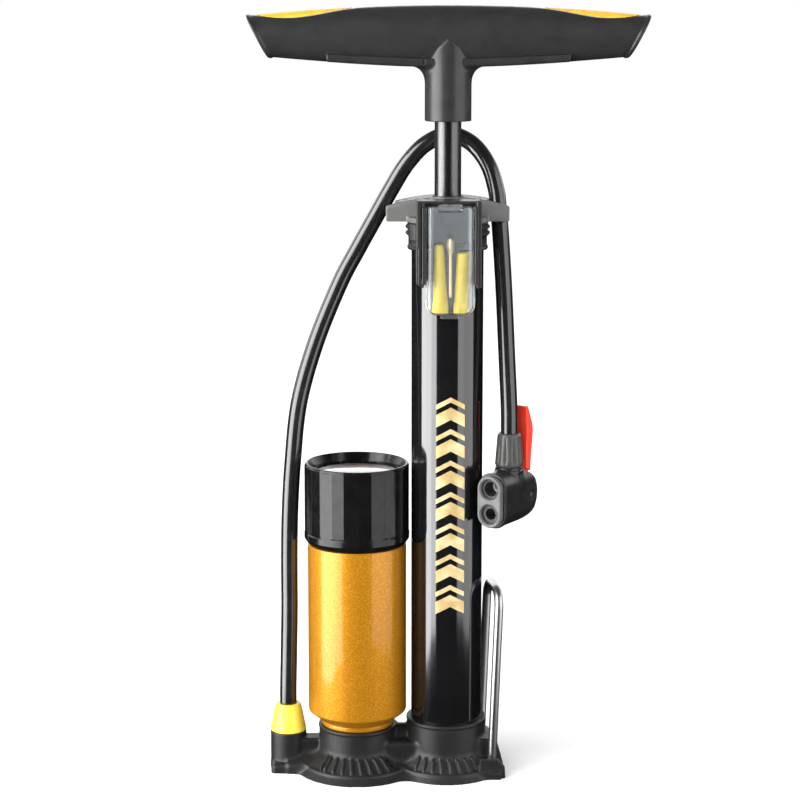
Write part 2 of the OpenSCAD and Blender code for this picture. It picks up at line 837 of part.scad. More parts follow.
module foot_pedal() {
    half = pedal_span / 2;
    top = pedal_top - wire_r - pedal_z;
    color("#c8c8ca") in_pedal() translate([0, 0, pedal_z]) rotate([0, pedal_lean, 0]) {
        for (side = [0, 1]) mirror([0, side, 0]) {
            translate([0, half, 0]) cylinder(r = wire_r, h = top - pedal_bend);
            translate([0, half, 0]) sphere(r = wire_r);
            translate([0, half, 0]) rotate([90, 0, 0]) cylinder(r = wire_r, h = half - stub_in);
            translate([0, half - pedal_bend, top - pedal_bend]) rotate([90, 0, 90]) pedal_corner();
        }
        translate([0, half - pedal_bend, top]) rotate([90, 0, 0])
            cylinder(r = wire_r, h = 2 * (half - pedal_bend));
    }
}

// quarter bend of the wire, from +X round to +Y
module pedal_corner() {
    rotate_extrude(angle = 90) translate([pedal_bend, 0]) circle(r = wire_r);
}

base_casting();
barrel_tube();
barrel_seal();
barrel_collar();
top_cap();
rod_bush();
rod_wiper();
case_holder();
valve_seat();
valve_disc();
valve_spring();
gauge_tank();
tank_seal();
gauge_cap();
gauge_lens();
gauge_dial();
gauge_movement();
bourdon_tube();
gauge_needle();
needle_spindle();
hose_barb();
hose_nut();
hose();
head_collar();
head_body();
head_face();
schrader_seal();
presta_seal();
head_plunger();
lever_pin();
head_lever();
piston_rod();
piston_body();
piston_seal();
piston_nut();
handle_body();
handle_pad_left();
handle_pad_right();
rod_nut();
accessory_case();
adaptor_tall();
adaptor_short();
ball_needle();
foot_pedal();
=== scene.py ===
"""Looks of a small floor pump with an air reservoir, a gauge and a twin pump head, built round its CAD frame.

Pieces are modelled in millimetres in the row frame and stored in metres. Moulded pieces are the zero surface
of a signed distance field, turned pieces are revolved profiles, and wires and the hose are curves.
"""

import itertools
import json
import math

import bmesh
import bpy
import numpy as np
from mathutils import Matrix, Vector


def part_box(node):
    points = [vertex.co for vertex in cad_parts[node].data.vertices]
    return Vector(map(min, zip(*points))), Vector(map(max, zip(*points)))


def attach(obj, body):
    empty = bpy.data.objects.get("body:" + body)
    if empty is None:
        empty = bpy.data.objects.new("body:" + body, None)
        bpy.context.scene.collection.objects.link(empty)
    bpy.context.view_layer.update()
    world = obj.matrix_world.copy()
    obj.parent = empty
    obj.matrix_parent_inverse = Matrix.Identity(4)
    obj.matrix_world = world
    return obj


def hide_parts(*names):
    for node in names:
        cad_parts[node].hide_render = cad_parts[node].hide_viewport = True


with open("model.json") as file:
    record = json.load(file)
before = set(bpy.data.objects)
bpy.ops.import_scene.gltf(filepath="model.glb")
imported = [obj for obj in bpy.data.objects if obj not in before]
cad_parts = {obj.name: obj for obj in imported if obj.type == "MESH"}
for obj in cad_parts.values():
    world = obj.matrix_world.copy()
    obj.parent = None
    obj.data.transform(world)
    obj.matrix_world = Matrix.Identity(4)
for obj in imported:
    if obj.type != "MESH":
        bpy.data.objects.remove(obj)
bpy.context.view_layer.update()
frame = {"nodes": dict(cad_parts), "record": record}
MM = 0.001


def low_of(node):
    return np.array(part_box(node)[0]) / MM


def high_of(node):
    return np.array(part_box(node)[1]) / MM


def centre_of(node):
    return (low_of(node) + high_of(node)) / 2


# ------------------------------------------------------------------ places and sizes, in mm, from the frame

BARREL_R = high_of("barrel_tube")[0]
BARREL_TOP = high_of("barrel_tube")[2]
SOCKET_Z = low_of("barrel_seal")[2]
ROD_R = high_of("piston_rod")[0]
CAP_Z = high_of("barrel_collar")[2]
COLLAR_Z = low_of("barrel_collar")[2]
TANK_X = centre_of("gauge_tank")[0]
TANK_R = (high_of("gauge_tank")[0] - low_of("gauge_tank")[0]) / 2
TANK_TOP = low_of("gauge_cap")[2]
GAUGE_TOP = high_of("gauge_cap")[2]
GAUGE_R = (high_of("gauge_cap")[1] - low_of("gauge_cap")[1]) / 2 - 0.15
DIAL_Z = low_of("gauge_dial")[2]
DIAL_R = high_of("gauge_dial")[1]
LENS_Z = low_of("gauge_lens")[2]
NEEDLE_Z = low_of("gauge_needle")[2]
PORT_X = centre_of("hose_nut")[0]
NUT_Z = low_of("hose_nut")[2]
NUT_TOP = high_of("hose_nut")[2]
NUT_R = (high_of("hose_nut")[0] - low_of("hose_nut")[0]) / 2
HEAD_X, HEAD_Y = centre_of("head_collar")[:2]
HEAD_YAW = math.radians(33)
NECK_Z = low_of("handle_body")[2]
HANDLE_TOP = high_of("handle_body")[2]
HANDLE_HALF = high_of("handle_body")[0]
CASE_LOW = low_of("accessory_case")
CASE_HIGH = high_of("accessory_case")
HOLDER_LOW = low_of("case_holder")
HOLDER_HIGH = high_of("case_holder")
PEDAL_TOP = high_of("foot_pedal")[2]
PEDAL_X = 22.0
PEDAL_LEAN = math.radians(2.2)
HINGE_Z = 8.0
PEDAL_TURN = math.radians(10)
HOSE_R = 4.5
WORLD_FILL = 0.8

# the hose's route, in metres, as the CAD part has it
HOSE = [
    (-0.086, 0, 0.024), (-0.086, 0, 0.042), (-0.0855, 0.0005, 0.064), (-0.085, 0.0015, 0.09),
    (-0.085, 0.003, 0.116), (-0.0845, 0.005, 0.142), (-0.083, 0.008, 0.168), (-0.0795, 0.012, 0.2),
    (-0.0705, 0.016, 0.232), (-0.0575, 0.019, 0.264), (-0.048, 0.0205, 0.282), (-0.038, 0.0215, 0.3),
    (-0.029, 0.0223, 0.316), (-0.0215, 0.0225, 0.328), (-0.0115, 0.0225, 0.3385), (0.001, 0.0225, 0.3435),
    (0.013, 0.021, 0.339), (0.0215, 0.0165, 0.3285), (0.0258, 0.0118, 0.3155), (0.0272, 0.0087, 0.3035),
    (0.0283, 0.0062, 0.29), (0.03, 0.0025, 0.262), (0.0316, -0.001, 0.228), (0.0328, -0.005, 0.202),
    (0.033, -0.006, 0.188), (0.033, -0.006, 0.172),
]


# ------------------------------------------------------------------ objects and nodes

def new_object(name, data):
    """Object of that data, put in the scene."""
    obj = bpy.data.objects.new(name, data)
    bpy.context.scene.collection.objects.link(obj)
    return obj


def map_range(tree, value, start, end, low, high, kind="LINEAR"):
    """Socket that goes from low to high as value goes from start to end."""
    node = tree.nodes.new("ShaderNodeMapRange")
    node.interpolation_type = kind
    for socket, amount in (("From Min", start), ("From Max", end), ("To Min", low), ("To Max", high)):
        node.inputs[socket].default_value = amount
    tree.links.new(value, node.inputs["Value"])
    return node.outputs["Result"]


def vector_math(tree, operation, value, other=None):
    node = tree.nodes.new("ShaderNodeVectorMath")
    node.operation = operation
    tree.links.new(value, node.inputs[0])
    if other is not None:
        node.inputs[1].default_value = other
    return node.outputs["Value" if operation == "LENGTH" else "Vector"]


# ------------------------------------------------------------------ camera, floor and light

def make_camera():
    """Far back and a little above, looking down; the small shift keeps the pump upright in the frame."""
    data = bpy.data.cameras.new("camera")
    data.sensor_width = 36
    data.lens = 98.7
    data.shift_y = -0.0575
    data.clip_start, data.clip_end = 0.05, 50
    camera = new_object("camera", data)
    camera.location = (-0.0245, -1.15, 0.418)
    target = Vector((-0.0251, 0, 0.2286))
    camera.rotation_euler = (target - camera.location).to_track_quat("-Z", "Y").to_euler()
    bpy.context.scene.camera = camera


def softbox(name, start, end, low, high, power):
    """An upright area light from start to end in plan, facing the pump."""
    start, end = Vector(start), Vector(end)
    middle = (start + end) / 2
    along = end - start
    data = bpy.data.lights.new(name, "AREA")
    data.shape = "RECTANGLE"
    data.size = along.length
    data.size_y = high - low
    data.energy = power
    lamp = new_object(name, data)
    inward = Vector((-middle.x, -middle.y, 0)).normalized()
    facing = Vector((along.y, -along.x, 0)).normalized()
    if facing.dot(inward) < 0:
        facing = -facing
    lamp.location = (middle.x, middle.y, (low + high) / 2)
    lamp.rotation_euler = facing.to_track_quat("-Z", "Y").to_euler()
    lamp.visible_camera = False


def fill_light():
    """Broad soft light from the front that mirrors don't see. It models the matt plastics."""
    data = bpy.data.lights.new("fill", "AREA")
    data.shape = "DISK"
    data.size = 0.9
    data.energy = 9
    lamp = new_object("fill", data)
    lamp.location = (-0.55, -1.45, 0.75)
    aim = Vector((0, 0, 0.25)) - lamp.location
    lamp.rotation_euler = aim.to_track_quat("-Z", "Y").to_euler()
    lamp.visible_camera = False
    lamp.visible_glossy = False


def make_world():
    """White to the eye and as fill. Mirrors see a dark room with a bright strip low at the back."""
    world = bpy.data.worlds.new("studio")
    world.use_nodes = True
    bpy.context.scene.world = world
    nodes, links = world.node_tree.nodes, world.node_tree.links
    nodes.clear()

    def ramp(value, *span):
        return map_range(world.node_tree, value, *span, "SMOOTHSTEP")

    def times(first, second):
        node = nodes.new("ShaderNodeMath")
        node.operation = "MULTIPLY"
        links.new(first, node.inputs[0])
        links.new(second, node.inputs[1])
        return node.outputs[0]

    def glow(strength):
        node = nodes.new("ShaderNodeBackground")
        node.inputs["Color"].default_value = (1, 1, 1, 1)
        node.inputs["Strength"].default_value = strength
        return node

    def choose(switch, otherwise, chosen):
        node = nodes.new("ShaderNodeMixShader")
        links.new(switch, node.inputs[0])
        links.new(otherwise.outputs[0], node.inputs[1])
        links.new(chosen.outputs[0], node.inputs[2])
        return node

    out = nodes.new("ShaderNodeOutputWorld")
    path = nodes.new("ShaderNodeLightPath")
    place = nodes.new("ShaderNodeTexCoord")
    split = nodes.new("ShaderNodeSeparateXYZ")
    links.new(place.outputs["Generated"], split.inputs[0])
    rise = ramp(split.outputs["Z"], 0.02, 0.14, 0.0, 1.0)
    fall = ramp(split.outputs["Z"], 0.30, 0.60, 1.0, 0.08)
    back = ramp(split.outputs["Y"], -0.2, 0.5, 0.06, 2.6)
    mirrored = glow(1.0)
    links.new(times(times(rise, fall), back), mirrored.inputs["Strength"])
    unseen = choose(path.outputs["Is Glossy Ray"], glow(WORLD_FILL), mirrored)
    links.new(choose(path.outputs["Is Camera Ray"], unseen, glow(1.0)).outputs[0], out.inputs["Surface"])


def make_floor():
    """A pale floor that glows faintly far off. Mirrors don't see it, so gloss shows the lights alone."""
    mesh = bpy.data.meshes.new("floor")
    reach = 6.0
    mesh.from_pydata(
        [(-reach, -reach, 0), (reach, -reach, 0), (reach, reach, 0), (-reach, reach, 0)], [], [(0, 1, 2, 3)]
    )
    floor = new_object("floor", mesh)
    pale = bpy.data.materials.new("floor_pale")
    pale.use_nodes = True
    shader = pale.node_tree.nodes["Principled BSDF"]
    shader.inputs["Base Color"].default_value = (0.84, 0.84, 0.84, 1)
    shader.inputs["Roughness"].default_value = 0.9
    shader.inputs["Specular IOR Level"].default_value = 0.0
    shader.inputs["Emission Color"].default_value = (1, 1, 1, 1)
    tree = pale.node_tree
    far = vector_math(tree, "LENGTH", tree.nodes.new("ShaderNodeTexCoord").outputs["Object"])
    tree.links.new(map_range(tree, far, 0.15, 0.9, 0.0, 0.36), shader.inputs["Emission Strength"])
    floor.data.materials.append(pale)
    floor.visible_glossy = False


# ------------------------------------------------------------------ materials

class Look:
    """A Principled material with short ways to add detail. Lengths are in mm."""

    def __init__(self, name, colour, rough, **constants):
        self.made = bpy.data.materials.new(name)
        self.made.use_nodes = True
        self.tree = self.made.node_tree
        self.nodes, self.links = self.tree.nodes, self.tree.links
        self.shader = self.nodes["Principled BSDF"]
        self.colour = colour
        self.set("Base Color", (*colour, 1))
        self.set("Roughness", rough)
        for socket, value in constants.items():
            self.set(socket.replace("_", " "), value)
        self.place = self.nodes.new("ShaderNodeTexCoord").outputs["Object"]
        self.bump = None

    def set(self, socket, value):
        self.shader.inputs[socket].default_value = value

    def stretched(self, x=1, y=1, z=1):
        """Coordinates squeezed along an axis, for streaks and brush marks."""
        node = self.nodes.new("ShaderNodeMapping")
        node.inputs["Scale"].default_value = (x, y, z)
        self.links.new(self.place, node.inputs["Vector"])
        return node.outputs[0]

    def noise(self, size, detail=4, rough=0.55, at=None):
        node = self.nodes.new("ShaderNodeTexNoise")
        node.inputs["Scale"].default_value = 1 / (size * MM)
        node.inputs["Detail"].default_value = detail
        node.inputs["Roughness"].default_value = rough
        self.links.new(at or self.place, node.inputs["Vector"])
        return node.outputs["Fac"]

    def cells(self, size):
        node = self.nodes.new("ShaderNodeTexVoronoi")
        node.inputs["Scale"].default_value = 1 / (size * MM)
        self.links.new(self.place, node.inputs["Vector"])
        return node.outputs["Color"]

    def ranged(self, value, low, high, start=0.3, end=0.7):
        return map_range(self.tree, value, start, end, low, high)

    def tint(self, value, other, start=0.3, end=0.7, share=1.0):
        """Varies the colour between its own and other as value goes from start to end."""
        mix = self.nodes.new("ShaderNodeMix")
        mix.data_type = "RGBA"
        before = self.shader.inputs["Base Color"]
        if before.is_linked:
            self.links.new(before.links[0].from_socket, mix.inputs["A"])
        else:
            mix.inputs["A"].default_value = (*self.colour, 1)
        mix.inputs["B"].default_value = (*other, 1)
        self.links.new(self.ranged(value, 0, share, start, end), mix.inputs["Factor"])
        self.links.new(mix.outputs["Result"], self.shader.inputs["Base Color"])
        return self

    def vary_rough(self, value, low, high, start=0.3, end=0.7):
        self.links.new(self.ranged(value, low, high, start, end), self.shader.inputs["Roughness"])
        return self

    def relief(self, height, depth, strength=1.0):
        """Adds bump of that depth."""
        node = self.nodes.new("ShaderNodeBump")
        node.inputs["Strength"].default_value = strength
        node.inputs["Distance"].default_value = depth * MM
        self.links.new(height, node.inputs["Height"])
        if self.bump:
            self.links.new(self.bump, node.inputs["Normal"])
        self.bump = node.outputs["Normal"]
        self.links.new(self.bump, self.shader.inputs["Normal"])
        return self

    def worn(self, other, share=0.5):
        """Lighter on outer edges, where handling rubs the surface."""
        edge = self.nodes.new("ShaderNodeNewGeometry").outputs["Pointiness"]
        return self.tint(edge, other, 0.52, 0.62, share)


def moulded(name, colour, rough, grain=0.9, depth=0.03, light=None, **constants):
    """Moulded plastic: a fine leather-like grain, faint flow marks and slightly rubbed edges."""
    constants.setdefault("Specular_IOR_Level", 0.42)
    look = Look(name, colour, rough, **constants)
    light = light or tuple(min(1, c * 1.7 + 0.004) for c in colour)
    look.tint(look.noise(9, 3), light, 0.35, 0.75, 0.35)
    look.vary_rough(look.noise(4, 4), rough - 0.06, rough + 0.08)
    look.relief(look.noise(grain, 5, 0.6), depth, 0.6)
    look.relief(look.noise(22, 2), 0.05, 0.25)
    return look.worn(light, 0.5)


def gloss_paint(name, colour, rough, **constants):
    """Lacquer over metal: nearly flat, with a faint orange peel and hairline marks."""
    look = Look(name, colour, rough, **constants)
    look.tint(look.noise(30, 3), tuple(c * 1.5 + 0.002 for c in colour), 0.35, 0.75, 0.5)
    look.vary_rough(look.noise(0.6, 3, at=look.stretched(1, 1, 0.06)), rough, rough + 0.05)
    look.relief(look.noise(1.6, 2), 0.006, 0.35)
    return look


def metal(name, colour, rough, stretch=(1, 1, 0.04), mark=0.35, **constants):
    """Drawn or turned metal with fine marks along stretch."""
    look = Look(name, colour, rough, Metallic=1.0, **constants)
    lines = look.noise(mark, 5, 0.65, at=look.stretched(*stretch))
    look.tint(lines, tuple(c * 0.72 for c in colour), 0.35, 0.7, 0.6)
    look.vary_rough(lines, rough - 0.05, rough + 0.1)
    look.relief(lines, 0.008, 0.4)
    look.tint(look.noise(12, 3), tuple(c * 0.85 for c in colour), 0.4, 0.8, 0.5)
    return look


def gold_flake():
    """Gold metallic paint: each flake has its own shade and tilt, under a clear coat."""
    look = Look("gold_flake", (0.40, 0.155, 0.001), 0.38, Metallic=0.5, Coat_Weight=0.4, Coat_Roughness=0.06,
                Specular_IOR_Level=0.25)
    flakes = look.cells(0.3)
    shade = look.nodes.new("ShaderNodeSeparateColor")
    look.links.new(flakes, shade.inputs[0])
    look.tint(shade.outputs[0], (0.80, 0.46, 0.05), 0.55, 1.0, 0.5)
    look.tint(shade.outputs[1], (0.26, 0.08, 0.001), 0.6, 1.0, 0.4)
    look.vary_rough(shade.outputs[2], 0.34, 0.5, 0, 1)
    look.relief(shade.outputs[0], 0.02, 0.4)
    look.relief(look.noise(3.5, 2), 0.01, 0.3)
    return look


def rubber(name, colour, rough):
    look = Look(name, colour, rough, Specular_IOR_Level=0.45)
    look.tint(look.noise(5, 4), tuple(c * 1.8 + 0.003 for c in colour), 0.4, 0.8, 0.5)
    look.relief(look.noise(0.35, 4), 0.02, 0.5)
    look.vary_rough(look.noise(2.5, 3), rough - 0.06, rough + 0.1)
    return look


def hose_rubber():
    """Extruded rubber: smooth along its length, with faint long draw marks and a dusty bloom."""
    look = Look("hose_rubber", (0.008, 0.008, 0.0085), 0.14, Specular_IOR_Level=0.8)
    look.tint(look.noise(6, 4), (0.02, 0.02, 0.021), 0.45, 0.8, 0.5)
    look.vary_rough(look.noise(1.2, 4, at=look.stretched(1, 1, 0.1)), 0.11, 0.2)
    look.relief(look.noise(0.5, 3, at=look.stretched(1, 1, 0.1)), 0.008, 0.4)
    return look


def clear(name, tint, rough):
    """Clear moulded plastic with faint flow lines."""
    look = Look(name, tint, rough, Transmission_Weight=1.0, IOR=1.46)
    look.relief(look.noise(7, 2), 0.02, 0.12)
    look.vary_rough(look.noise(3, 3), rough, rough + 0.04)
    return look


def case_plastic():
    """Clear plastic with a painted sheen: less clear, and so whiter, towards the rounded sides of the case,
    where the walls are seen edge-on.
    """
    look = clear("case_clear", (0.94, 0.98, 1.0), 0.03)
    split = look.nodes.new("ShaderNodeSeparateXYZ")
    look.links.new(look.place, split.inputs[0])
    value = split.outputs["X"]
    for operation, number in (("SUBTRACT", (CASE_LOW[0] + CASE_HIGH[0]) / 2 * MM), ("ABSOLUTE", 0)):
        node = look.nodes.new("ShaderNodeMath")
        node.operation = operation
        node.inputs[1].default_value = number
        look.links.new(value, node.inputs[0])
        value = node.outputs[0]
    # painted sheen: transmission falls towards the sides, so the white base colour shows there as if the
    # edge-on walls caught the light
    thick = map_range(look.tree, value, 8.4 * MM, 10.6 * MM, 0.975, 0.85)
    look.links.new(thick, look.shader.inputs["Transmission Weight"])
    return look


def printed_dial():
    """Dial face: rings of colour by distance from the spindle, as on the printed plate."""
    look = Look("dial_print", (0.84, 0.075, 0.026), 0.42)
    offset = vector_math(look.tree, "SUBTRACT", look.place, (TANK_X * MM, 0, DIAL_Z * MM))
    flat = vector_math(look.tree, "MULTIPLY", offset, (1, 1, 0))
    ring = map_range(look.tree, vector_math(look.tree, "LENGTH", flat), 0, DIAL_R * MM, 0, 1)
    ramp = look.nodes.new("ShaderNodeValToRGB")
    ramp.color_ramp.interpolation = "CONSTANT"
    orange, grey, black = (0.84, 0.075, 0.026, 1), (0.38, 0.40, 0.40, 1), (0.012, 0.012, 0.012, 1)
    stops = [(0.0, grey), (0.41, orange), (0.56, grey), (0.66, black), (0.68, orange)]
    band = ramp.color_ramp
    for i, (at, colour) in enumerate(stops):
        stop = band.elements[i] if i < 2 else band.elements.new(at)
        stop.position, stop.color = at, colour
    look.links.new(ring, ramp.inputs[0])
    look.links.new(ramp.outputs[0], look.shader.inputs["Base Color"])
    look.tint(look.noise(0.4, 3), (0.95, 0.93, 0.9), 0.55, 0.8, 0.06)
    look.relief(look.noise(0.3, 3), 0.006, 0.3)
    return look


def make_finishes():
    """The look for each material slot of the record."""
    looks = {
        "base_plastic": moulded("base_plastic", (0.0085, 0.0085, 0.0085), 0.46, Specular_IOR_Level=0.36),
        "barrel_black": gloss_paint("barrel_lacquer", (0.004, 0.004, 0.0045), 0.07, Specular_IOR_Level=0.9),
        "collar_black": moulded(
            "collar_plastic", (0.006, 0.006, 0.006), 0.5, 0.6, 0.02, Specular_IOR_Level=0.3,
        ),
        "cap_grey": moulded("cap_plastic", (0.085, 0.085, 0.083), 0.42),
        "holder_grey": moulded("holder_plastic", (0.013, 0.013, 0.013), 0.36),
        "rod_steel": metal("rod_steel", (0.105, 0.103, 0.105), 0.26),
        "gold": gold_flake(),
        "gauge_black": moulded(
            "gauge_plastic", (0.003, 0.003, 0.003), 0.17, 0.8, 0.005, Specular_IOR_Level=0.28,
        ),
        "clear_lens": clear("lens_clear", (0.99, 0.99, 0.99), 0.02),
        "clear_case": case_plastic(),
        "dial_face": printed_dial(),
        "needle_black": moulded("needle_enamel", (0.01, 0.01, 0.01), 0.35, 0.3, 0.01),
        "brass": metal("brass", (0.66, 0.52, 0.31), 0.34, (1, 1, 1), 0.5),
        "steel": metal("bright_steel", (0.50, 0.50, 0.505), 0.32),
        "rubber": rubber("seal_rubber", (0.018, 0.018, 0.018), 0.5),
        "hose_rubber": hose_rubber(),
        "nylon": moulded("nylon", (0.66, 0.65, 0.6), 0.42, 0.8, 0.01),
        "yellow_plastic": moulded(
            "yellow_plastic", (0.76, 0.56, 0.04), 0.3, 1.2, 0.012, (0.84, 0.68, 0.12), Subsurface_Weight=0.15,
            Subsurface_Radius=(0.002, 0.0015, 0.0003),
        ),
        "pad_yellow": rubber("pad_rubber", (0.54, 0.33, 0.022), 0.42),
        "handle_black": moulded("handle_plastic", (0.013, 0.013, 0.0135), 0.34, 0.7, 0.02),
        "head_black": moulded("head_plastic", (0.008, 0.008, 0.0085), 0.34, 0.7, 0.02),
        "head_grey": moulded("head_face_plastic", (0.075, 0.075, 0.077), 0.42, 0.7, 0.015),
        "collar_grey": moulded("nut_plastic", (0.04, 0.04, 0.039), 0.34, 0.7, 0.015),
        "red_plastic": moulded("red_plastic", (0.72, 0.035, 0.018), 0.34, 1.0, 0.012, (0.85, 0.1, 0.06)),
    }
    return {slot: look.made for slot, look in looks.items()}


# ------------------------------------------------------------------ mesh building

def place(obj, slot, body, *nodes):
    """Gives a piece its finish, its body and the CAD nodes that it stands for."""
    if not obj.data.materials:
        obj.data.materials.append(FINISH[slot])
    if nodes:
        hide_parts(*nodes)
    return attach(obj, body)


def add_mesh(name, points, faces, smooth=None):
    """Object from points in mm. smooth is the angle in degrees above which an edge stays sharp."""
    mesh = bpy.data.meshes.new(name)
    mesh.from_pydata((np.asarray(points, float) * MM).tolist(), [], np.asarray(faces).tolist()
                     if isinstance(faces, np.ndarray) else faces)
    mesh.validate()
    mesh.shade_smooth()
    if smooth is not None:
        mesh.set_sharp_from_angle(angle=math.radians(smooth))
    obj = new_object(name, mesh)
    return obj


def fillet(corners):
    """Closed outline with its corners rounded. A corner is (a, b) or (a, b, radius)."""
    made = []
    count = len(corners)
    for i, corner in enumerate(corners):
        here = np.array(corner[:2], float)
        radius = corner[2] if len(corner) > 2 else 0
        if not radius:
            made.append(here)
            continue
        back = np.array(corners[i - 1][:2], float) - here
        ahead = np.array(corners[(i + 1) % count][:2], float) - here
        back_len, ahead_len = np.linalg.norm(back), np.linalg.norm(ahead)
        back, ahead = back / back_len, ahead / ahead_len
        half = math.acos(max(-1, min(1, float(back @ ahead)))) / 2
        reach = min(radius / math.tan(half), 0.48 * back_len, 0.48 * ahead_len)
        radius = reach * math.tan(half)
        middle = here + (back + ahead) / np.linalg.norm(back + ahead) * radius / math.sin(half)
        first, last = here + back * reach - middle, here + ahead * reach - middle
        turn = math.pi - 2 * half
        steps = max(2, math.ceil(turn / math.radians(11)))
        for s in range(steps + 1):
            share = s / steps
            arc = first * math.sin((1 - share) * turn) + last * math.sin(share * turn)
            made.append(middle + arc / math.sin(turn))
    return np.array(made)


def revolve(name, corners, centre=(0, 0), sides=96, smooth=32, shape=None):
    """Solid ring or solid of a closed outline of (radius, height) corners. shape(angle, radius, height) may
    change the radius round the axis. Points on the axis are joined."""
    outline = fillet(corners)
    angles = np.arange(sides) * 2 * math.pi / sides
    points, rings = [], []
    for radius, height in outline:
        if radius < 1e-6:
            rings.append([len(points)])
            points.append((centre[0], centre[1], height))
            continue
        reach = np.broadcast_to(shape(angles, radius, height) if shape else radius, (sides,))
        rings.append(list(range(len(points), len(points) + sides)))
        points += [
            (centre[0] + r * math.cos(a), centre[1] + r * math.sin(a), height) for r, a in zip(reach, angles)
        ]
    faces = []
    for a, b in zip(rings, rings[1:] + rings[:1]):
        if len(a) == 1 and len(b) == 1:
            continue
        for k in range(sides):
            j = (k + 1) % sides
            face = [a[k % len(a)], a[j % len(a)], b[j % len(b)], b[k % len(b)]]
            faces.append(list(dict.fromkeys(face)))
    obj = add_mesh(name, points, faces, smooth)
    outward(obj)
    return obj


def outward(obj):
    """Turns every face outwards."""
    shell = bmesh.new()
    shell.from_mesh(obj.data)
    bmesh.ops.recalc_face_normals(shell, faces=shell.faces)
    shell.to_mesh(obj.data)
    shell.free()


def even_normals(obj):
    """Keeps large flat faces flat between rounded edges."""
    weigh = obj.modifiers.new("even_normals", "WEIGHTED_NORMAL")
    weigh.keep_sharp = True
    return obj


def tube_curve(name, points, radius, round_steps=8):
    """Round wire along points in mm, with closed ends."""
    data = bpy.data.curves.new(name, "CURVE")
    data.dimensions = "3D"
    data.bevel_depth = radius * MM
    data.bevel_resolution = round_steps
    data.use_fill_caps = True
    spline = data.splines.new("POLY")
    spline.points.add(len(points) - 1)
    for slot, p in zip(spline.points, points):
        slot.co = (p[0] * MM, p[1] * MM, p[2] * MM, 1)
    spline.use_smooth = True
    obj = new_object(name, data)
    return obj


# ------------------------------------------------------------------ signed distance fields

def join(a, b, r=0.0):
    """Both shapes, with a fillet about r wide where they meet."""
    if np.ndim(r) == 0 and r == 0:
        return np.minimum(a, b)
    lap = np.maximum(r - np.abs(a - b), 0) / r
    return np.minimum(a, b) - lap * lap * r / 4


def meet(a, b, r=0.0):
    """What is in both shapes, with edges rounded by about r."""
    return -join(-a, -b, r)


def cut(a, b, r=0.0):
    """The first shape without the second."""
    return meet(a, -b, r)


def slab(z, low, high):
    return np.maximum(low - z, z - high)


def post(x, y, z, r, low, high, edge=0.0):
    """Upright cylinder."""
    return meet(np.hypot(x, y) - r, slab(z, low, high), edge)


def block(x, y, z, low, high, edge=0.0):
    """Box with rounded edges."""
    middle, half = (np.array(low) + high) / 2, (np.array(high, float) - low) / 2 - edge
    d = [np.abs(v - m) - h for v, m, h in zip((x, y, z), middle, half)]
    outside = np.sqrt(sum(np.maximum(v, 0) ** 2 for v in d))
    inside = np.minimum(np.maximum(np.maximum(d[0], d[1]), d[2]), 0)
    return outside + inside - edge


def outline(u, v, corners):
    """Distance to a polygon in the plane of u and v, negative inside."""
    best = None
    inside = np.zeros(np.broadcast(u, v).shape, bool)
    for a, b in zip(corners, corners[1:] + corners[:1]):
        du, dv = b[0] - a[0], b[1] - a[1]
        share = np.clip(((u - a[0]) * du + (v - a[1]) * dv) / (du * du + dv * dv), 0, 1)
        far = np.hypot(u - a[0] - du * share, v - a[1] - dv * share)
        best = far if best is None else np.minimum(best, far)
        if dv:
            crosses = (a[1] > v) != (b[1] > v)
            inside ^= crosses & (u < a[0] + (v - a[1]) * du / dv)
    return np.where(inside, -best, best)


def step_up(value, low, high):
    """0 below low, 1 above high, smooth between."""
    t = np.clip((value - low) / (high - low), 0, 1)
    return t * t * (3 - 2 * t)


def turned(x, y, centre, angle):
    """Coordinates in a frame at centre that is turned by angle about the vertical."""
    c, s = math.cos(angle), math.sin(angle)
    dx, dy = x - centre[0], y - centre[1]
    return c * dx + s * dy, -s * dx + c * dy


def slope_of(field, points, h):
    """Gradient of the field at points."""
    parts = []
    for unit in np.eye(3) * h:
        ahead, behind = (points + unit).T, (points - unit).T
        parts.append((field(*ahead) - field(*behind)) / (2 * h))
    return np.stack(parts, 1)


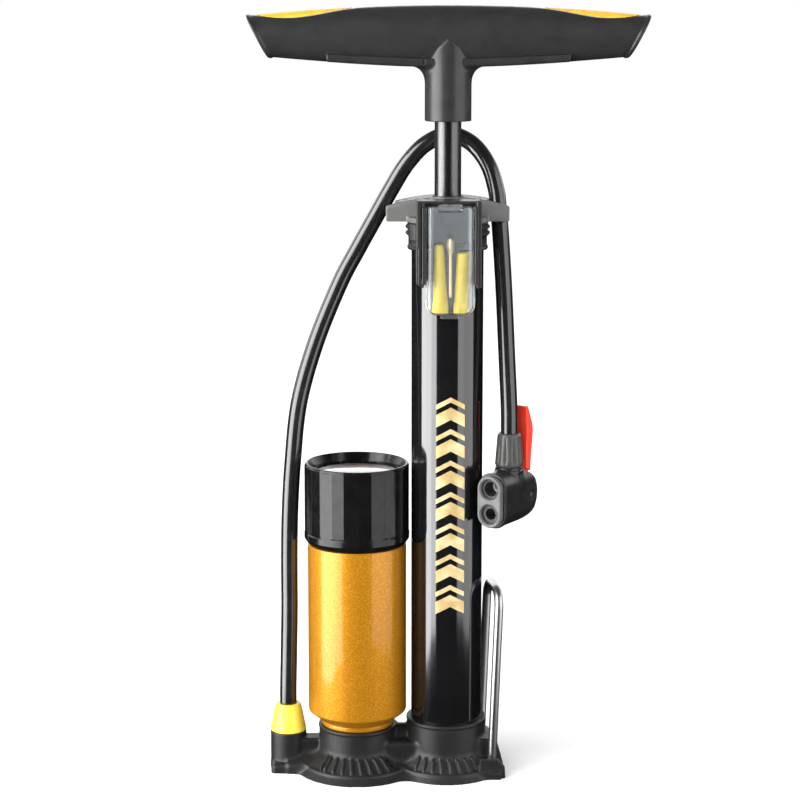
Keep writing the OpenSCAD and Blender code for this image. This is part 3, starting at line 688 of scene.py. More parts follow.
def net(field, low, high, step):
    """Points and four-sided faces of the surface where field is 0, on a grid of that step."""
    axes = [np.arange(a - 1.5 * step, b + 2.5 * step, step) for a, b in zip(low, high)]
    x, y, z = np.ix_(*axes)
    value = np.broadcast_to(field(x, y, z), (len(axes[0]), len(axes[1]), len(axes[2])))
    inside = value < 0
    shape = tuple(n - 1 for n in value.shape)
    corners = list(itertools.product((0, 1), repeat=3))
    filled = np.zeros(shape, np.int8)
    for c in corners:
        filled += inside[tuple(slice(k, k + n) for k, n in zip(c, shape))]
    mixed = (filled > 0) & (filled < 8)
    number = np.full(shape, -1, np.int64)
    number[mixed] = np.arange(mixed.sum())
    at = np.argwhere(mixed)
    total, hits = np.zeros((len(at), 3)), np.zeros((len(at), 1))
    for c, axis in itertools.product(corners, range(3)):
        if c[axis]:
            continue
        unit = np.eye(3, dtype=int)[axis]
        near, far = value[tuple((at + c).T)], value[tuple((at + c + unit).T)]
        crossed = (near < 0) != (far < 0)
        share = np.where(crossed, near / np.where(crossed, near - far, 1), 0)
        total += crossed[:, None] * (np.array(c) + share[:, None] * unit)
        hits += crossed[:, None]
    origin = np.array([a[0] for a in axes])
    points = origin + (at + total / hits) * step
    faces = []
    for axis in range(3):
        u, v = (axis + 1) % 3, (axis + 2) % 3
        near, far = [slice(None)] * 3, [slice(None)] * 3
        near[axis], far[axis] = slice(0, -1), slice(1, None)
        for side in (near, far):
            side[u] = side[v] = slice(1, -1)
        change = inside[tuple(near)] != inside[tuple(far)]
        p = np.argwhere(change)
        p[:, u] += 1
        p[:, v] += 1
        eu, ev = np.eye(3, dtype=int)[u], np.eye(3, dtype=int)[v]
        ring = np.stack([number[tuple(q.T)] for q in (p, p - eu, p - eu - ev, p - ev)], 1)
        solid_below = inside[tuple(p.T)]
        ring[~solid_below] = ring[~solid_below][:, ::-1]
        faces.append(ring)
    return points, np.concatenate(faces)


def shaped(name, field, low, high, step):
    """Piece whose skin is the zero surface of field inside the box from low to high."""
    step = step
    points, faces = net(field, low, high, step)
    for _ in range(3):
        slope = slope_of(field, points, 0.2 * step)
        size = np.maximum((slope**2).sum(1), 0.05)
        move = -(field(*points.T) / size)[:, None] * slope
        far = np.linalg.norm(move, axis=1, keepdims=True)
        points = points + move * np.minimum(1, 0.5 * step / np.maximum(far, 1e-9))
    obj = add_mesh(name, points, faces)
    slope = slope_of(field, points, 0.12)
    slope /= np.maximum(np.linalg.norm(slope, axis=1, keepdims=True), 1e-9)
    obj.data.normals_split_custom_set_from_vertices(slope.tolist())
    return obj


# ------------------------------------------------------------------ hose and its fittings

def make_hose():
    """The air hose: out of the base port, up behind the reservoir, over the rod and down to the pump head."""
    data = bpy.data.curves.new("hose_line", "CURVE")
    data.dimensions = "3D"
    data.resolution_u = 10
    data.bevel_depth = HOSE_R * MM
    data.bevel_resolution = 8
    data.use_fill_caps = True
    spline = data.splines.new("BEZIER")
    spline.bezier_points.add(len(HOSE) - 1)
    for i, point in enumerate(spline.bezier_points):
        before, here, after = HOSE[max(i - 1, 0)], HOSE[i], HOSE[min(i + 1, len(HOSE) - 1)]
        reach = (Vector(after) - Vector(before)) / 6
        point.handle_left_type = point.handle_right_type = "FREE"
        point.co = here
        point.handle_left = Vector(here) - reach
        point.handle_right = Vector(here) + reach
    hose = new_object("air_hose", data)
    place(hose, "hose_rubber", "pump", "hose")


def make_hose_nut():
    """Yellow tapered nut with a rounded foot and eight shallow grip flats."""
    def gripped(angles, radius, height):
        share = step_up(height, NUT_Z + 2, NUT_Z + 4) * (1 - step_up(height, NUT_TOP - 5, NUT_TOP - 2))
        return radius - 0.12 * share * (1 - np.cos(8 * angles))

    nut = revolve("hose_nut_yellow", [
        (6.0, NUT_Z), (NUT_R - 0.3, NUT_Z, 0.3), (NUT_R, NUT_Z + 1.0, 0.9), (NUT_R - 0.5, NUT_Z + 3.2, 2),
        (7.1, NUT_TOP - 1.6, 3), (6.5, NUT_TOP, 0.8), (HOSE_R + 0.15, NUT_TOP, 0.3),
        (HOSE_R + 0.15, NUT_Z + 4), (6.0, NUT_Z + 4),
    ], (PORT_X, 0), 96, 40, gripped)
    place(nut, "yellow_plastic", "pump", "hose_nut")


# ------------------------------------------------------------------ base

def base_field(x, y, z):
    """Moulded base: two collars on ribbed skirts, the hose port, webs between them and the pedal pocket."""
    foot_h, skirt_top = 4.5, 12.5

    def socket(cx, foot_r, collar_r, collar_h, ribs, spread):
        far = np.hypot(x - cx, y)
        foot = meet(far - foot_r, slab(z, -1, foot_h), 1.0)
        run, rise = foot_r - collar_r, skirt_top - foot_h
        slope = ((far - foot_r) * rise + (z - foot_h) * run) / math.hypot(run, rise)
        skirt = meet(slope + 0.7, slab(z, -1, skirt_top), 0.8)
        angle = np.arctan2(x - cx, np.abs(y))
        nearest = np.clip(np.round(angle / spread + 0.5) - 0.5, -(ribs - 1) / 2, (ribs - 1) / 2)
        across = far * np.sin(angle - nearest * spread)
        fin = meet(np.abs(across + (z - foot_h) * 0.12) - 0.85, slope - 0.75, 0.9)
        fin = meet(fin, slab(far, collar_r - 1, foot_r - 1.0), 0.9)
        fin = meet(fin, slab(z, 3, skirt_top - 1.2), 1.2)
        collar = meet(far - collar_r, slab(z, -1, collar_h), 0.7)
        lip = meet(meet(far - collar_r - 0.35, collar_r - 1.2 - far), slab(z, collar_h - 1.6, collar_h), 0.5)
        return join(foot, skirt, 1.0), fin, join(collar, lip, 0.4)

    tank_skirt, tank_fins, tank_collar = socket(TANK_X, 30.3, 20.8, 25, 9, math.radians(10.5))
    barrel_skirt, barrel_fins, barrel_collar = socket(0, 28.3, 21.3, 29, 8, math.radians(11))
    port = post(x - PORT_X, y, z, 9.7, -1, NUT_Z, 1.0)
    port_foot = block(x, y, z, (PORT_X - 9, -13, -2), (PORT_X + 28, 13, foot_h + 0.5), 2.5)
    gusset = meet(block(x, y, z, (PORT_X, -13, -2), (PORT_X + 30, 13, 14), 1.5),
                  (z - 5.0) * 0.9 - (12.5 - np.abs(y)) * 0.55, 1.0)
    port_web = block(x, y, z, (PORT_X, -5.5, -2), (TANK_X, 5.5, 17.2), 1.6)
    mid_web = block(x, y, z, (TANK_X, -14.5, -2), (0, 14.5, 18), 2.0)
    duct = meet(np.hypot(y, z - 18) - 6.4, slab(x, TANK_X, 0), 0.5)
    low_shapes = join(tank_skirt, barrel_skirt, 6)
    low_shapes = join(low_shapes, port_foot, 3)
    low_shapes = join(low_shapes, gusset, 2.5)
    low_shapes = join(low_shapes, join(mid_web, port_web, 1), 2.5)
    low_shapes = join(low_shapes, duct, 2.0)
    low_shapes = join(low_shapes, join(tank_fins, barrel_fins, 0.3), 0.5)
    high_shapes = join(join(tank_collar, barrel_collar, 0.5), port, 0.5)
    made = join(low_shapes, high_shapes, 1.8)

    u, v = turned(x, y, (PEDAL_X, 0), PEDAL_TURN)
    side = outline(u, z, [(-8, -3), (7.4, -3), (7.2, 4.5), (5.9, 9.5), (3.4, 18.3), (2.0, 19.2), (-8, 19.2)])
    tower = meet(side, np.abs(v) - 12, 1.2)
    cheek_side = outline(u, z, [(-8, -3), (6.4, -3), (5.9, 6.5), (2.4, 10.6), (-8, 11.6)])
    cheeks = meet(cheek_side, np.abs(np.abs(v) - 20) - 1.5, 0.9)
    shelf = block(x, y, z, (8, -22.8, -3), (29.4, 22.8, foot_h), 1.2)
    made = join(made, join(join(tower, cheeks, 0.8), shelf, 0.8), 1.6)
    pocket = meet(np.abs(np.abs(v) - 15.3) - 3.25, -3.6 - u, 0.4)
    pocket = meet(pocket, foot_h + 0.1 - z, 0.4)
    made = cut(made, pocket, 0.5)
    hinge = meet(np.hypot(u, z - HINGE_Z) - 2.45, slab(np.abs(v), 8.5, 20), 0)
    made = cut(made, hinge, 0.2)

    made = cut(made, post(x, y, z, BARREL_R, SOCKET_Z, 60), 0.3)
    made = cut(made, post(x - TANK_X, y, z, 18, SOCKET_Z, 60), 0.3)
    made = cut(made, post(x - PORT_X, y, z, 6, 10, 60), 0.4)
    return meet(made, -z)


def make_base():
    room = np.array((3, 3, 0.4))
    low, high = low_of("base_casting") - room, high_of("base_casting") + room
    base = shaped("base_moulding", base_field, low, high, 0.5)
    place(base, "base_plastic", "pump", "base_casting")


# ------------------------------------------------------------------ barrel

def make_barrel():
    barrel = revolve("barrel_lacquered", [
        (BARREL_R - 1.5, 14, 0.3), (BARREL_R, 14, 0.3), (BARREL_R, BARREL_TOP, 0.3),
        (BARREL_R - 1.5, BARREL_TOP, 0.3),
    ], (0, 0), 160, 40)
    place(barrel, "barrel_black", "pump", "barrel_tube")
    make_decoration()


def make_decoration():
    """Gold foil print on the barrel: a column of chevrons, in pairs of a wide and a narrow one."""
    skin = BARREL_R + 0.06
    half_w = math.radians(23.5)
    middle = math.radians(-90 + 4.6)
    low, pairs, pitch, drop, steps = 91.0, 7, 16.9, 4.2, 16
    points, faces = [], []
    stripes = [(low + pitch * g + start, t) for g in range(pairs) for start, t in ((0, 6.6), (9.4, 2.6))]
    for z, thick in stripes:
        first = len(points)
        for s in range(steps + 1):
            share = 2 * s / steps - 1
            angle = middle + half_w * share
            for r in (skin - 0.12, skin):
                for height in (z + drop * (1 - abs(share)), z + drop * (1 - abs(share)) + thick):
                    points.append((r * math.cos(angle), r * math.sin(angle), height))
        for a in range(first, first + 4 * steps, 4):
            b = a + 4
            faces += [(a, b, b + 1, a + 1), (a + 2, a + 3, b + 3, b + 2), (a, a + 2, b + 2, b),
                      (a + 1, b + 1, b + 3, a + 3)]
        last = first + 4 * steps
        faces += [(first, first + 1, first + 3, first + 2), (last, last + 2, last + 3, last + 1)]
    foil = add_mesh("barrel_decoration", points, faces, 30)
    outward(foil)
    foil.data.materials.append(foil_gold())
    place(foil, "gold", "pump")


def foil_gold():
    """Pale gold foil, lighter and darker in soft bands."""
    look = Look("foil_gold", (0.50, 0.36, 0.15), 0.42, Metallic=0.35)
    look.tint(look.noise(9, 2), (0.74, 0.60, 0.34), 0.4, 0.62, 0.8)
    look.tint(look.noise(0.5, 3), (0.45, 0.32, 0.14), 0.55, 0.8, 0.3)
    look.relief(look.noise(0.4, 3), 0.01, 0.4)
    return look.made


def make_barrel_collar():
    """Threaded ring on the barrel top: a fluted skirt under two thread crests."""
    def knurled(angles, radius, height):
        skirt = step_up(height, COLLAR_Z + 1.6, COLLAR_Z + 2.2) * (1 - step_up(height, 290.8, 291.6))
        on_skin = radius > BARREL_R + 1.6
        return radius + (0.28 * skirt * (np.cos(48 * angles) - 1) if on_skin else 0)

    ring = revolve("barrel_collar_ring", [
        (BARREL_R + 0.05, COLLAR_Z, 0.2), (20.9, COLLAR_Z, 0.5), (21.3, COLLAR_Z + 0.9, 0.5),
        (21.1, COLLAR_Z + 1.8, 0.3), (20.7, COLLAR_Z + 2.4, 0.3), (20.7, 291.4, 0.4),
        (20.9, 292, 0.3), (22.2, 293.2, 0.35), (22.2, 294, 0.35), (21.0, 295, 0.2), (21.0, 295.4, 0.2),
        (22.2, 296.4, 0.35), (22.2, 297.2, 0.35), (21.2, 298.2, 0.3), (21.2, CAP_Z),
        (ROD_R + 1.2, CAP_Z), (ROD_R + 1.2, BARREL_TOP + 0.05), (BARREL_R + 0.05, BARREL_TOP + 0.05),
    ], (0, 0), 192, 30, knurled)
    place(ring, "collar_black", "pump", "barrel_collar")


# ------------------------------------------------------------------ cap, case holder and case

def cap_field(x, y, z):
    """Cap on the barrel: a disc, the rod boss, and an arched bar with a hose hook at each end."""
    wide = np.abs(x)
    plan = join(block(x, y, 0 * x, (-32.5, -1.5, -9), (32.5, 2.9, 9), 0.8),
                block(x, y, 0 * x, (-28, -1.5, -9), (28, 18.6, 9), 1.2))
    slot = np.hypot(wide - 27.3, y - 9) - 6.1
    mouth = np.maximum(27.3 - wide, np.abs(y - 9) - 6.1)
    plan = cut(plan, join(slot, mouth), 0.9)
    arch_r = 106.0
    arch = np.hypot(x, z - (312.4 - arch_r)) - arch_r
    bar = meet(meet(plan, arch, 0.9), CAP_Z - z, 0.9)
    pocket = block(wide, y, z, (9.5, 1.2, 250), (19.5, 17, 304.5), 1.2)
    bar = cut(bar, pocket, 0.6)
    disc = post(x, y, z, 21.3, CAP_Z, CAP_Z + 2.7, 0.6)
    boss = post(x, y, z, 8.4, CAP_Z, 313, 0.8)
    made = join(join(bar, disc, 1.0), boss, 1.2)
    return cut(made, post(x, y, z, 7.95, 250, 330), 0.5)


def make_cap():
    cap = shaped("top_cap_moulding", cap_field, low_of("top_cap"), high_of("top_cap"), 0.4)
    place(cap, "cap_grey", "pump", "top_cap")


def holder_field(x, y, z):
    """Frame for the case: two rails with lips, a top bar, a back plate and a saddle on the collar."""
    front, top = HOLDER_LOW[1], HOLDER_HIGH[2]
    low = HOLDER_LOW[2]
    left_in, right_in = CASE_LOW[0] - 0.3, CASE_HIGH[0] + 0.3
    left_rail = block(x, y, z, (left_in - 4.0, front + 0.8, low), (left_in, -17, top), 0.8)
    right_rail = block(x, y, z, (right_in, front + 0.8, low), (right_in + 2.8, -17, top), 0.8)
    groove = block(x, y, z, (left_in - 1.6, front - 2, low + 5), (left_in - 0.8, front + 2.4, top - 2), 0.3)
    step = block(x, y, z, (left_in - 6, front - 2, low - 3), (left_in - 2.9, front + 2.2, 289), 0.3)
    toe = meet(z - low - 2.2, (x - left_in + 4.0) * 0.55 + (z - low) - 2.2)
    left_rail = cut(cut(cut(left_rail, groove, 0.3), step, 0.3), toe, 0.3)
    lips = join(block(x, y, z, (left_in - 1, front, low + 2), (left_in + 0.75, front + 1.2, top - 3), 0.4),
                block(x, y, z, (right_in - 0.75, front, low + 2), (right_in + 1, front + 1.2, top - 3), 0.4))
    bar = block(x, y, z, (left_in - 2, front + 1.2, top - 1.2), (right_in + 2, -22.6, top), 0.4)
    plate = block(x, y, z, (left_in - 1, -24.1, 290.5), (right_in + 1, -22.6, top), 0.3)
    cheek = meet(np.hypot(x, y) - 24.1, slab(z, 290.5, CAP_Z), 0.8)
    cheek = meet(cheek, block(x, y, z, (-20.5, -40, 200), (right_in + 2.8, -12, 400), 0.6), 0.6)
    made = join(join(left_rail, right_rail), lips, 0.3)
    made = join(join(made, bar, 0.5), join(plate, cheek, 0.6), 0.6)
    return cut(made, post(x, y, z, 22.3, 200, 400), 0.3)


def make_holder():
    holder = shaped("case_holder_moulding", holder_field, HOLDER_LOW, HOLDER_HIGH, 0.38)
    holder.data.materials.append(FINISH["holder_grey"])
    place(holder, "cap_grey", "pump", "case_holder")


def case_field(x, y, z):
    """Clear case: a deep tray with rounded lower corners, open at the top, with a finger tab."""
    tab_h, wall = 1.8, 1.2
    top = CASE_HIGH[2] - tab_h
    low = CASE_LOW[2] + 1.6
    middle_x = (CASE_LOW[0] + CASE_HIGH[0]) / 2
    half = (CASE_HIGH[0] - CASE_LOW[0]) / 2
    front, back = CASE_LOW[1], CASE_HIGH[1]

    def tray(inset, r, edge, top_z):
        u = np.abs(x - middle_x) - (half - inset - r)
        v = (low + inset + r) - z
        corner = np.hypot(np.maximum(u, 0), np.maximum(v, 0)) + np.minimum(np.maximum(u, v), 0) - r
        face = meet(corner, slab(y, front + inset, back - inset), edge)
        return np.maximum(face, z - top_z)

    body = meet(tray(0, 6, 5.5, top + 5), z - top, 0.5)
    hollow = tray(wall, 4.8, 1.2, top + 9)
    tab = block(x, y, z, (middle_x - 6, front + 0.4, top - 2),
                (middle_x + 6, front + wall + 0.4, top + tab_h), 0.5)
    foot = block(x, y, z, (middle_x - 4.5, front + 4.3, low - 1.6),
                 (middle_x + 4.5, front + 7.3, low + 0.6), 0.6)
    shell = cut(body, hollow, 0.3)
    return join(join(shell, tab, 0.4), foot, 0.5)


def make_case():
    case = shaped("accessory_case_clear", case_field, CASE_LOW, CASE_HIGH, 0.4)
    place(case, "clear_case", "case", "accessory_case")


def make_adaptors():
    """Two yellow nozzles that lean apart and a ball needle between them, kept in the case."""
    for node, name, lean in (
        ("adaptor_tall", "adaptor_tall_yellow", -1.6), ("adaptor_short", "adaptor_short_yellow", 3.2),
    ):
        low, high, middle = low_of(node), high_of(node), centre_of(node)
        foot_r = (high[0] - low[0]) / 2
        tip_r = foot_r - (1.7 if node == "adaptor_tall" else 0.3)
        z, top = low[2], high[2]
        nozzle = revolve(name, [
            (1.3, z, 0.2), (foot_r - 0.5, z, 0.3), (foot_r - 0.2, z + 0.6, 0.3), (foot_r - 0.2, z + 5, 0.3),
            (foot_r - 0.5, z + 5.6, 0.2), (tip_r, top - 1, 0.5), (tip_r - 0.4, top, 0.3), (1.3, top, 0.2),
        ], (middle[0], middle[1]), 64, 35)
        foot = Matrix.Translation((middle[0] * MM, middle[1] * MM, z * MM))
        nozzle.data.transform(foot @ Matrix.Rotation(math.radians(lean), 4, "Y") @ foot.inverted())
        place(nozzle, "yellow_plastic", "case", node)
    low, high, middle = low_of("ball_needle"), high_of("ball_needle"), centre_of("ball_needle")
    z, top = low[2], high[2]

    def waisted(angles, radius, height):
        share = step_up(height, top - 7.5, top - 6)
        return radius * (1 - 0.16 * share * (1 - np.cos(4 * angles)) / 2)

    needle = revolve("ball_needle_metal", [
        (0, z), (0.5, z, 0.2), (0.8, z + 1.2, 0.3), (0.8, top - 9.5, 0.4), (1.1, top - 8.6, 0.3),
        (2.1, top - 5.2, 1.4), (2.1, top - 1.8, 1.2), (1.2, top, 0.6), (0, top),
    ], (middle[0], middle[1]), 48, 40, waisted)
    place(needle, "brass", "case", "ball_needle")


# ------------------------------------------------------------------ reservoir and gauge

def make_tank():
    tank = revolve("reservoir_gold", [
        (0, 14), (17.9, 14, 0.3), (17.9, 25.1, 0.1), (19.3, 25.1, 0.3), (19.7, 25.8, 0.4),
        (19.7, 27.6, 0.4),
        (19.2, 28.2, 0.2), (18.7, 28.3, 0.1), (18.7, 28.8, 0.1), (20.6, 28.8, 0.3), (21.4, 29.3, 0.6),
        (TANK_R, 33.2, 1.6), (TANK_R, TANK_TOP, 0.5), (24.2, TANK_TOP, 0.2), (24.2, 134, 0.3),
        (22.6, 134, 0.3),
        (22.6, 124), (TANK_R - 1.6, 124), (TANK_R - 1.6, 38), (0, 38),
    ], (TANK_X, 0), 160, 28)
    place(tank, "gold", "pump", "gauge_tank")


def make_gauge_cap():
    """Cap round the gauge: 24 flats, every other one set back, over a smooth ring, and a bevelled rim."""
    flats = 24
    z0 = TANK_TOP

    def faceted(angles, radius, height):
        on_skin = radius > GAUGE_R - 1.9
        share = step_up(height, z0 + 7.0, z0 + 7.6) * (1 - step_up(height, GAUGE_TOP - 1.6, GAUGE_TOP - 0.9))
        turn = 2 * math.pi / flats
        count = (angles - math.radians(2.3)) / turn
        off = (count - np.floor(count) - 0.5) * turn
        reach = GAUGE_R - 0.24 - 0.16 * (np.floor(count) % 2)
        flat = reach / np.cos(off)
        return radius + (share * (np.minimum(flat, GAUGE_R - 0.05) - GAUGE_R) if on_skin else 0)

    cap = revolve("gauge_cap_black", [
        (24.25, z0, 0.2), (TANK_R - 0.5, z0, 0.3), (GAUGE_R + 0.15, z0 + 3.2, 0.8),
        (GAUGE_R + 0.15, z0 + 6.2, 0.6),
        (GAUGE_R - 0.3, z0 + 7.0, 0.2), (GAUGE_R, z0 + 7.6, 0.1), (GAUGE_R, GAUGE_TOP - 1.4, 0.6),
        (GAUGE_R - 0.8, GAUGE_TOP, 0.6), (GAUGE_R - 1.7, GAUGE_TOP, 0.5), (DIAL_R + 0.4, LENS_Z + 2.0, 0.4),
        (DIAL_R + 0.25, LENS_Z + 1.6, 0.1), (DIAL_R + 0.25, DIAL_Z, 0.1), (22.4, DIAL_Z, 0.2),
        (22.4, z0 + 8.2), (24.25, z0 + 8.2),
    ], (TANK_X, 0), 360, 12, faceted)
    even_normals(cap)
    place(cap, "gauge_black", "pump", "gauge_cap")
    lens = revolve("gauge_lens_clear", [
        (0, LENS_Z), (DIAL_R + 0.15, LENS_Z, 0.2), (DIAL_R + 0.15, LENS_Z + 1.2, 0.3),
        (DIAL_R - 0.4, LENS_Z + 1.6, 0.3),
        (0, LENS_Z + 1.6),
    ], (TANK_X, 0), 128, 30)
    place(lens, "clear_lens", "pump", "gauge_lens")


def dial_angle(share):
    """Direction on the dial at a share of its sweep of 270 degrees, which starts at the lower left."""
    return math.radians(225 - 270 * share)


def print_ink(name, colour, other, grain, share):
    """Printing ink with a slightly uneven shade."""
    look = Look(name, colour, 0.5)
    look.tint(look.noise(grain, 3), other, 0.4, 0.8, share)
    look.relief(look.noise(0.2, 2), 0.004, 0.3)
    return look.made


def strokes(name, rows, low, high, ink):
    """Flat strokes along the dial's radii, from height low to high. A row is (share, inner, outer, width)."""
    points, faces = [], []
    for share, inner, outer, width in rows:
        c, s = math.cos(dial_angle(share)), math.sin(dial_angle(share))
        first = len(points)
        for height in (low, high):
            for far, side in ((inner, -1), (inner, 1), (outer, 1), (outer, -1)):
                off = side * width / 2
                points.append((TANK_X + c * far - s * off, s * far + c * off, height))
        faces += [tuple(first + k for k in q) for q in (
            (3, 2, 1, 0), (4, 5, 6, 7), (0, 1, 5, 4), (1, 2, 6, 5), (2, 3, 7, 6), (3, 0, 4, 7),
        )]
    marks = add_mesh(name, points, faces, 30)
    marks.data.materials.append(ink)
    place(marks, "dial_face", "pump")


def make_dial():
    """Printed plate: 80 fine divisions with numbers outside, and a grey ring with 11 white strokes inside."""
    face_z = DIAL_Z + 1.1
    bar_full = 11.2      # value of the inner scale at the end of the sweep
    plate = revolve("gauge_dial_plate", [
        (1.3, DIAL_Z, 0.1), (DIAL_R - 0.1, DIAL_Z, 0.2), (DIAL_R - 0.1, face_z, 0.2), (1.3, face_z, 0.1),
    ], (TANK_X, 0), 128, 30)
    place(plate, "dial_face", "pump", "gauge_dial")
    ink = print_ink("dial_ink", (0.012, 0.012, 0.012), (0.05, 0.045, 0.04), 0.25, 0.6)
    rows = []
    for i in range(81):
        step = 10 if i % 10 == 0 else 5 if i % 5 == 0 else 1
        inner, outer, width = {10: (0.63, 0.72, 0.7), 5: (0.68, 0.77, 0.3), 1: (0.68, 0.71, 0.14)}[step]
        rows.append((i / 80, DIAL_R * inner, DIAL_R * outer, width))
    strokes("gauge_dial_ticks", rows, face_z - 0.05, face_z + 0.05, ink)
    white = print_ink("dial_white", (0.8, 0.8, 0.78), (0.6, 0.6, 0.58), 0.3, 0.5)
    rows = [(i / bar_full, DIAL_R * 0.56, DIAL_R * 0.655, 0.44) for i in range(1, 12)]
    strokes("gauge_dial_bar_marks", rows, face_z - 0.04, face_z + 0.03, white)
    for i in range(17):
        size = 1.9 if i % 2 else 4.3
        number(f"gauge_psi_{i * 10}", str(i * 10), i / 16, DIAL_R * 0.85, size, ink, face_z)
    for i in range(1, 12):
        number(f"gauge_bar_{i}", str(i), i / bar_full, DIAL_R * 0.487, 2.1, ink, face_z)


def number(name, text, share, radius, size, ink, z):
    """A number printed on the dial, its foot towards the spindle."""
    angle = dial_angle(share)
    data = bpy.data.curves.new(name, "FONT")
    data.body = text
    data.size = size * MM
    data.align_x = "CENTER"
    data.align_y = "CENTER"
    data.extrude = 0.05 * MM
    data.offset = 0.02 * size * MM
    data.resolution_u = 3
    obj = new_object(name, data)
    obj.location = ((TANK_X + radius * math.cos(angle)) * MM, radius * math.sin(angle) * MM, z * MM)
    obj.rotation_euler = (0, 0, angle - math.pi / 2)
    obj.data.materials.append(ink)
    place(obj, "dial_face", "pump")


def make_needle():
    """Pointer with a wedge tail and a round hub."""
    hub = revolve("gauge_needle_hub", [
        (0.92, NEEDLE_Z, 0.05), (2.6, NEEDLE_Z, 0.1), (2.6, NEEDLE_Z + 0.75, 0.3),
        (0.92, NEEDLE_Z + 1.0, 0.1),
    ], (TANK_X, 0), 48, 30)
    place(hub, "needle_black", "needle", "gauge_needle")
    shape = [(19.5, -0.2), (19.5, 0.2), (1.5, 0.85), (0, 1.3), (-8.2, 2.6), (-7.4, 0),
             (-8.2, -2.6), (0, -1.3),
             (1.5, -0.85)]
    turn = math.radians(-135)
    blade = bmesh.new()
    rings = []
    for z, inset in ((0.1, 0.0), (0.55, 0.0), (0.7, 0.12)):
        ring = []
        for u, v in shape:
            u, v = u * (1 - inset * 0.02), v * (1 - inset)
            x, y = u * math.cos(turn) - v * math.sin(turn), u * math.sin(turn) + v * math.cos(turn)
            ring.append(blade.verts.new(((TANK_X + x) * MM, y * MM, (NEEDLE_Z + z) * MM)))
        rings.append(ring)
    for a, b in zip(rings, rings[1:]):
        for k in range(len(shape)):
            j = (k + 1) % len(shape)
            blade.faces.new((a[k], a[j], b[j], b[k]))
    blade.faces.new(rings[0][::-1])
    blade.faces.new(rings[-1])
    mesh = bpy.data.meshes.new("gauge_needle_blade")
    bmesh.ops.recalc_face_normals(blade, faces=blade.faces)
    blade.to_mesh(mesh)
    blade.free()
    obj = new_object("gauge_needle_blade", mesh)
    place(obj, "needle_black", "needle")


# ------------------------------------------------------------------ pump head

def head_frame(x, y):
    """Across and towards the rear of the pump head."""
    return turned(x, y, (HEAD_X, HEAD_Y), -HEAD_YAW)


PORT_HI, PORT_LO = 160.0, 146.5      # heights of the two valve ports
PIVOT_V, PIVOT_Z = 11, 152.4         # the lever's pin, behind the ports


def stadium(u, z, r):
    return np.hypot(u, z - np.clip(z, PORT_LO, PORT_HI)) - r


def head_field(x, y, z):
    """Black body: a flat oval barrel with a round rear, a neck for the hose nut and a slot for the lever."""
    u, v = head_frame(x, y)
    middle = (PORT_HI + PORT_LO) / 2
    rear = np.where(v > 3.2, np.hypot(v - 3.2, z - middle) - 14, np.abs(z - middle) - 14.5)
    body = meet(meet(stadium(u, z, 8.2), rear, 1.2), -17.6 - v, 1.0)
    step = meet(meet(stadium(u, z, 8.55), rear - 0.2, 1.0), slab(v, -17.6, -14.5), 0.6)
    body = join(body, step, 0.5)
    neck = post(u, v, z, 7.2, PORT_HI, 169.2, 0.6)
    ring = post(u, v, z, 7.7, 165.8, 167.6, 0.6)
    made = join(join(body, neck, 2.2), ring, 0.4)
    made = cut(made, meet(stadium(u, z, 6.45), slab(v, -30, 1)), 0.3)
    slot = block(u, v, z, (-3.3, 4.5, 145.5), (3.3, 34.5, 185.5), 0.4)
    made = cut(made, slot, 0.5)
    pivot = np.hypot(v - PIVOT_V, z - PIVOT_Z)
    boss = meet(pivot - 3.6, slab(np.abs(u), 7.2, 8.2), 0.3)
    recess = meet(pivot - 2.7, 7.55 - np.abs(u), 0.2)
    made = cut(join(made, boss, 0.3), recess, 0.3)
    seam = meet(np.abs(v + 1.5) - 0.25, -0.3 - stadium(u, z, 8.2))
    made = cut(made, meet(seam, PORT_HI - 2 - z), 0.2)
    made = cut(made, pivot - 1.5, 0.1)
    return cut(made, post(u, v, z, 1.6, PORT_HI, 200))


def face_field(x, y, z):
    """Grey face plate: proud of the body, with a flared hole for each kind of valve."""
    u, v = head_frame(x, y)
    plate = meet(stadium(u, z, 7.1), slab(v, -21, -17.5), 0.7)
    plate = cut(plate, meet(stadium(u, z, 6.3), slab(v, -18.7, -10)), 0.2)
    for port_z, r in ((PORT_HI, 5.2), (PORT_LO, 5.0)):
        far = np.hypot(u, z - port_z)
        plate = cut(plate, far - r - np.maximum(-20.0 - v, 0) * 0.6, 0.3)
    return plate


def lever_field(x, y, z):
    """Red thumb lever: a cam between the cheeks, an arm, and a wide blade with a bulge near the top."""
    u, v = head_frame(x, y)
    cam = meet(np.hypot(v - 9, z - PIVOT_Z) - 4.2, np.abs(u) - 3.0, 0.5)
    arm = outline(v, z, [(7.5, 151), (14.5, 150.5), (15.3, 158), (15.6, 170), (10.6, 170), (9.2, 158)])
    arm = meet(arm, np.abs(u) - 3.0, 0.5)
    side = outline(v, z, [(10.6, 166.6), (15.2, 164.6), (15.8, 172), (17.6, 184.4), (17.8, 186.4),
                          (17.1, 190),
                          (12.1, 200.2), (9.8, 200.2), (11.2, 186), (10.6, 178)])
    blade = meet(side, np.abs(u) - 4.7, 0.8)
    made = join(join(cam, arm, 0.8), blade, 1.0)
    return cut(made, np.hypot(v - PIVOT_V, z - PIVOT_Z) - 1.56)


def make_head():
    low = np.minimum(low_of("head_body"), low_of("head_face")) - 1
    high = np.maximum(high_of("head_body"), high_of("head_face")) + 1
    body = shaped("pump_head_body", head_field, low, high, 0.38)
    place(body, "head_black", "pump", "head_body")
    face = shaped("pump_head_face", face_field, low_of("head_face"), high_of("head_face"), 0.34)
    place(face, "head_grey", "pump", "head_face")
    lever = shaped("thumb_lever_red", lever_field, low_of("head_lever"), high_of("head_lever"), 0.34)
    place(lever, "red_plastic", "lever", "head_lever")


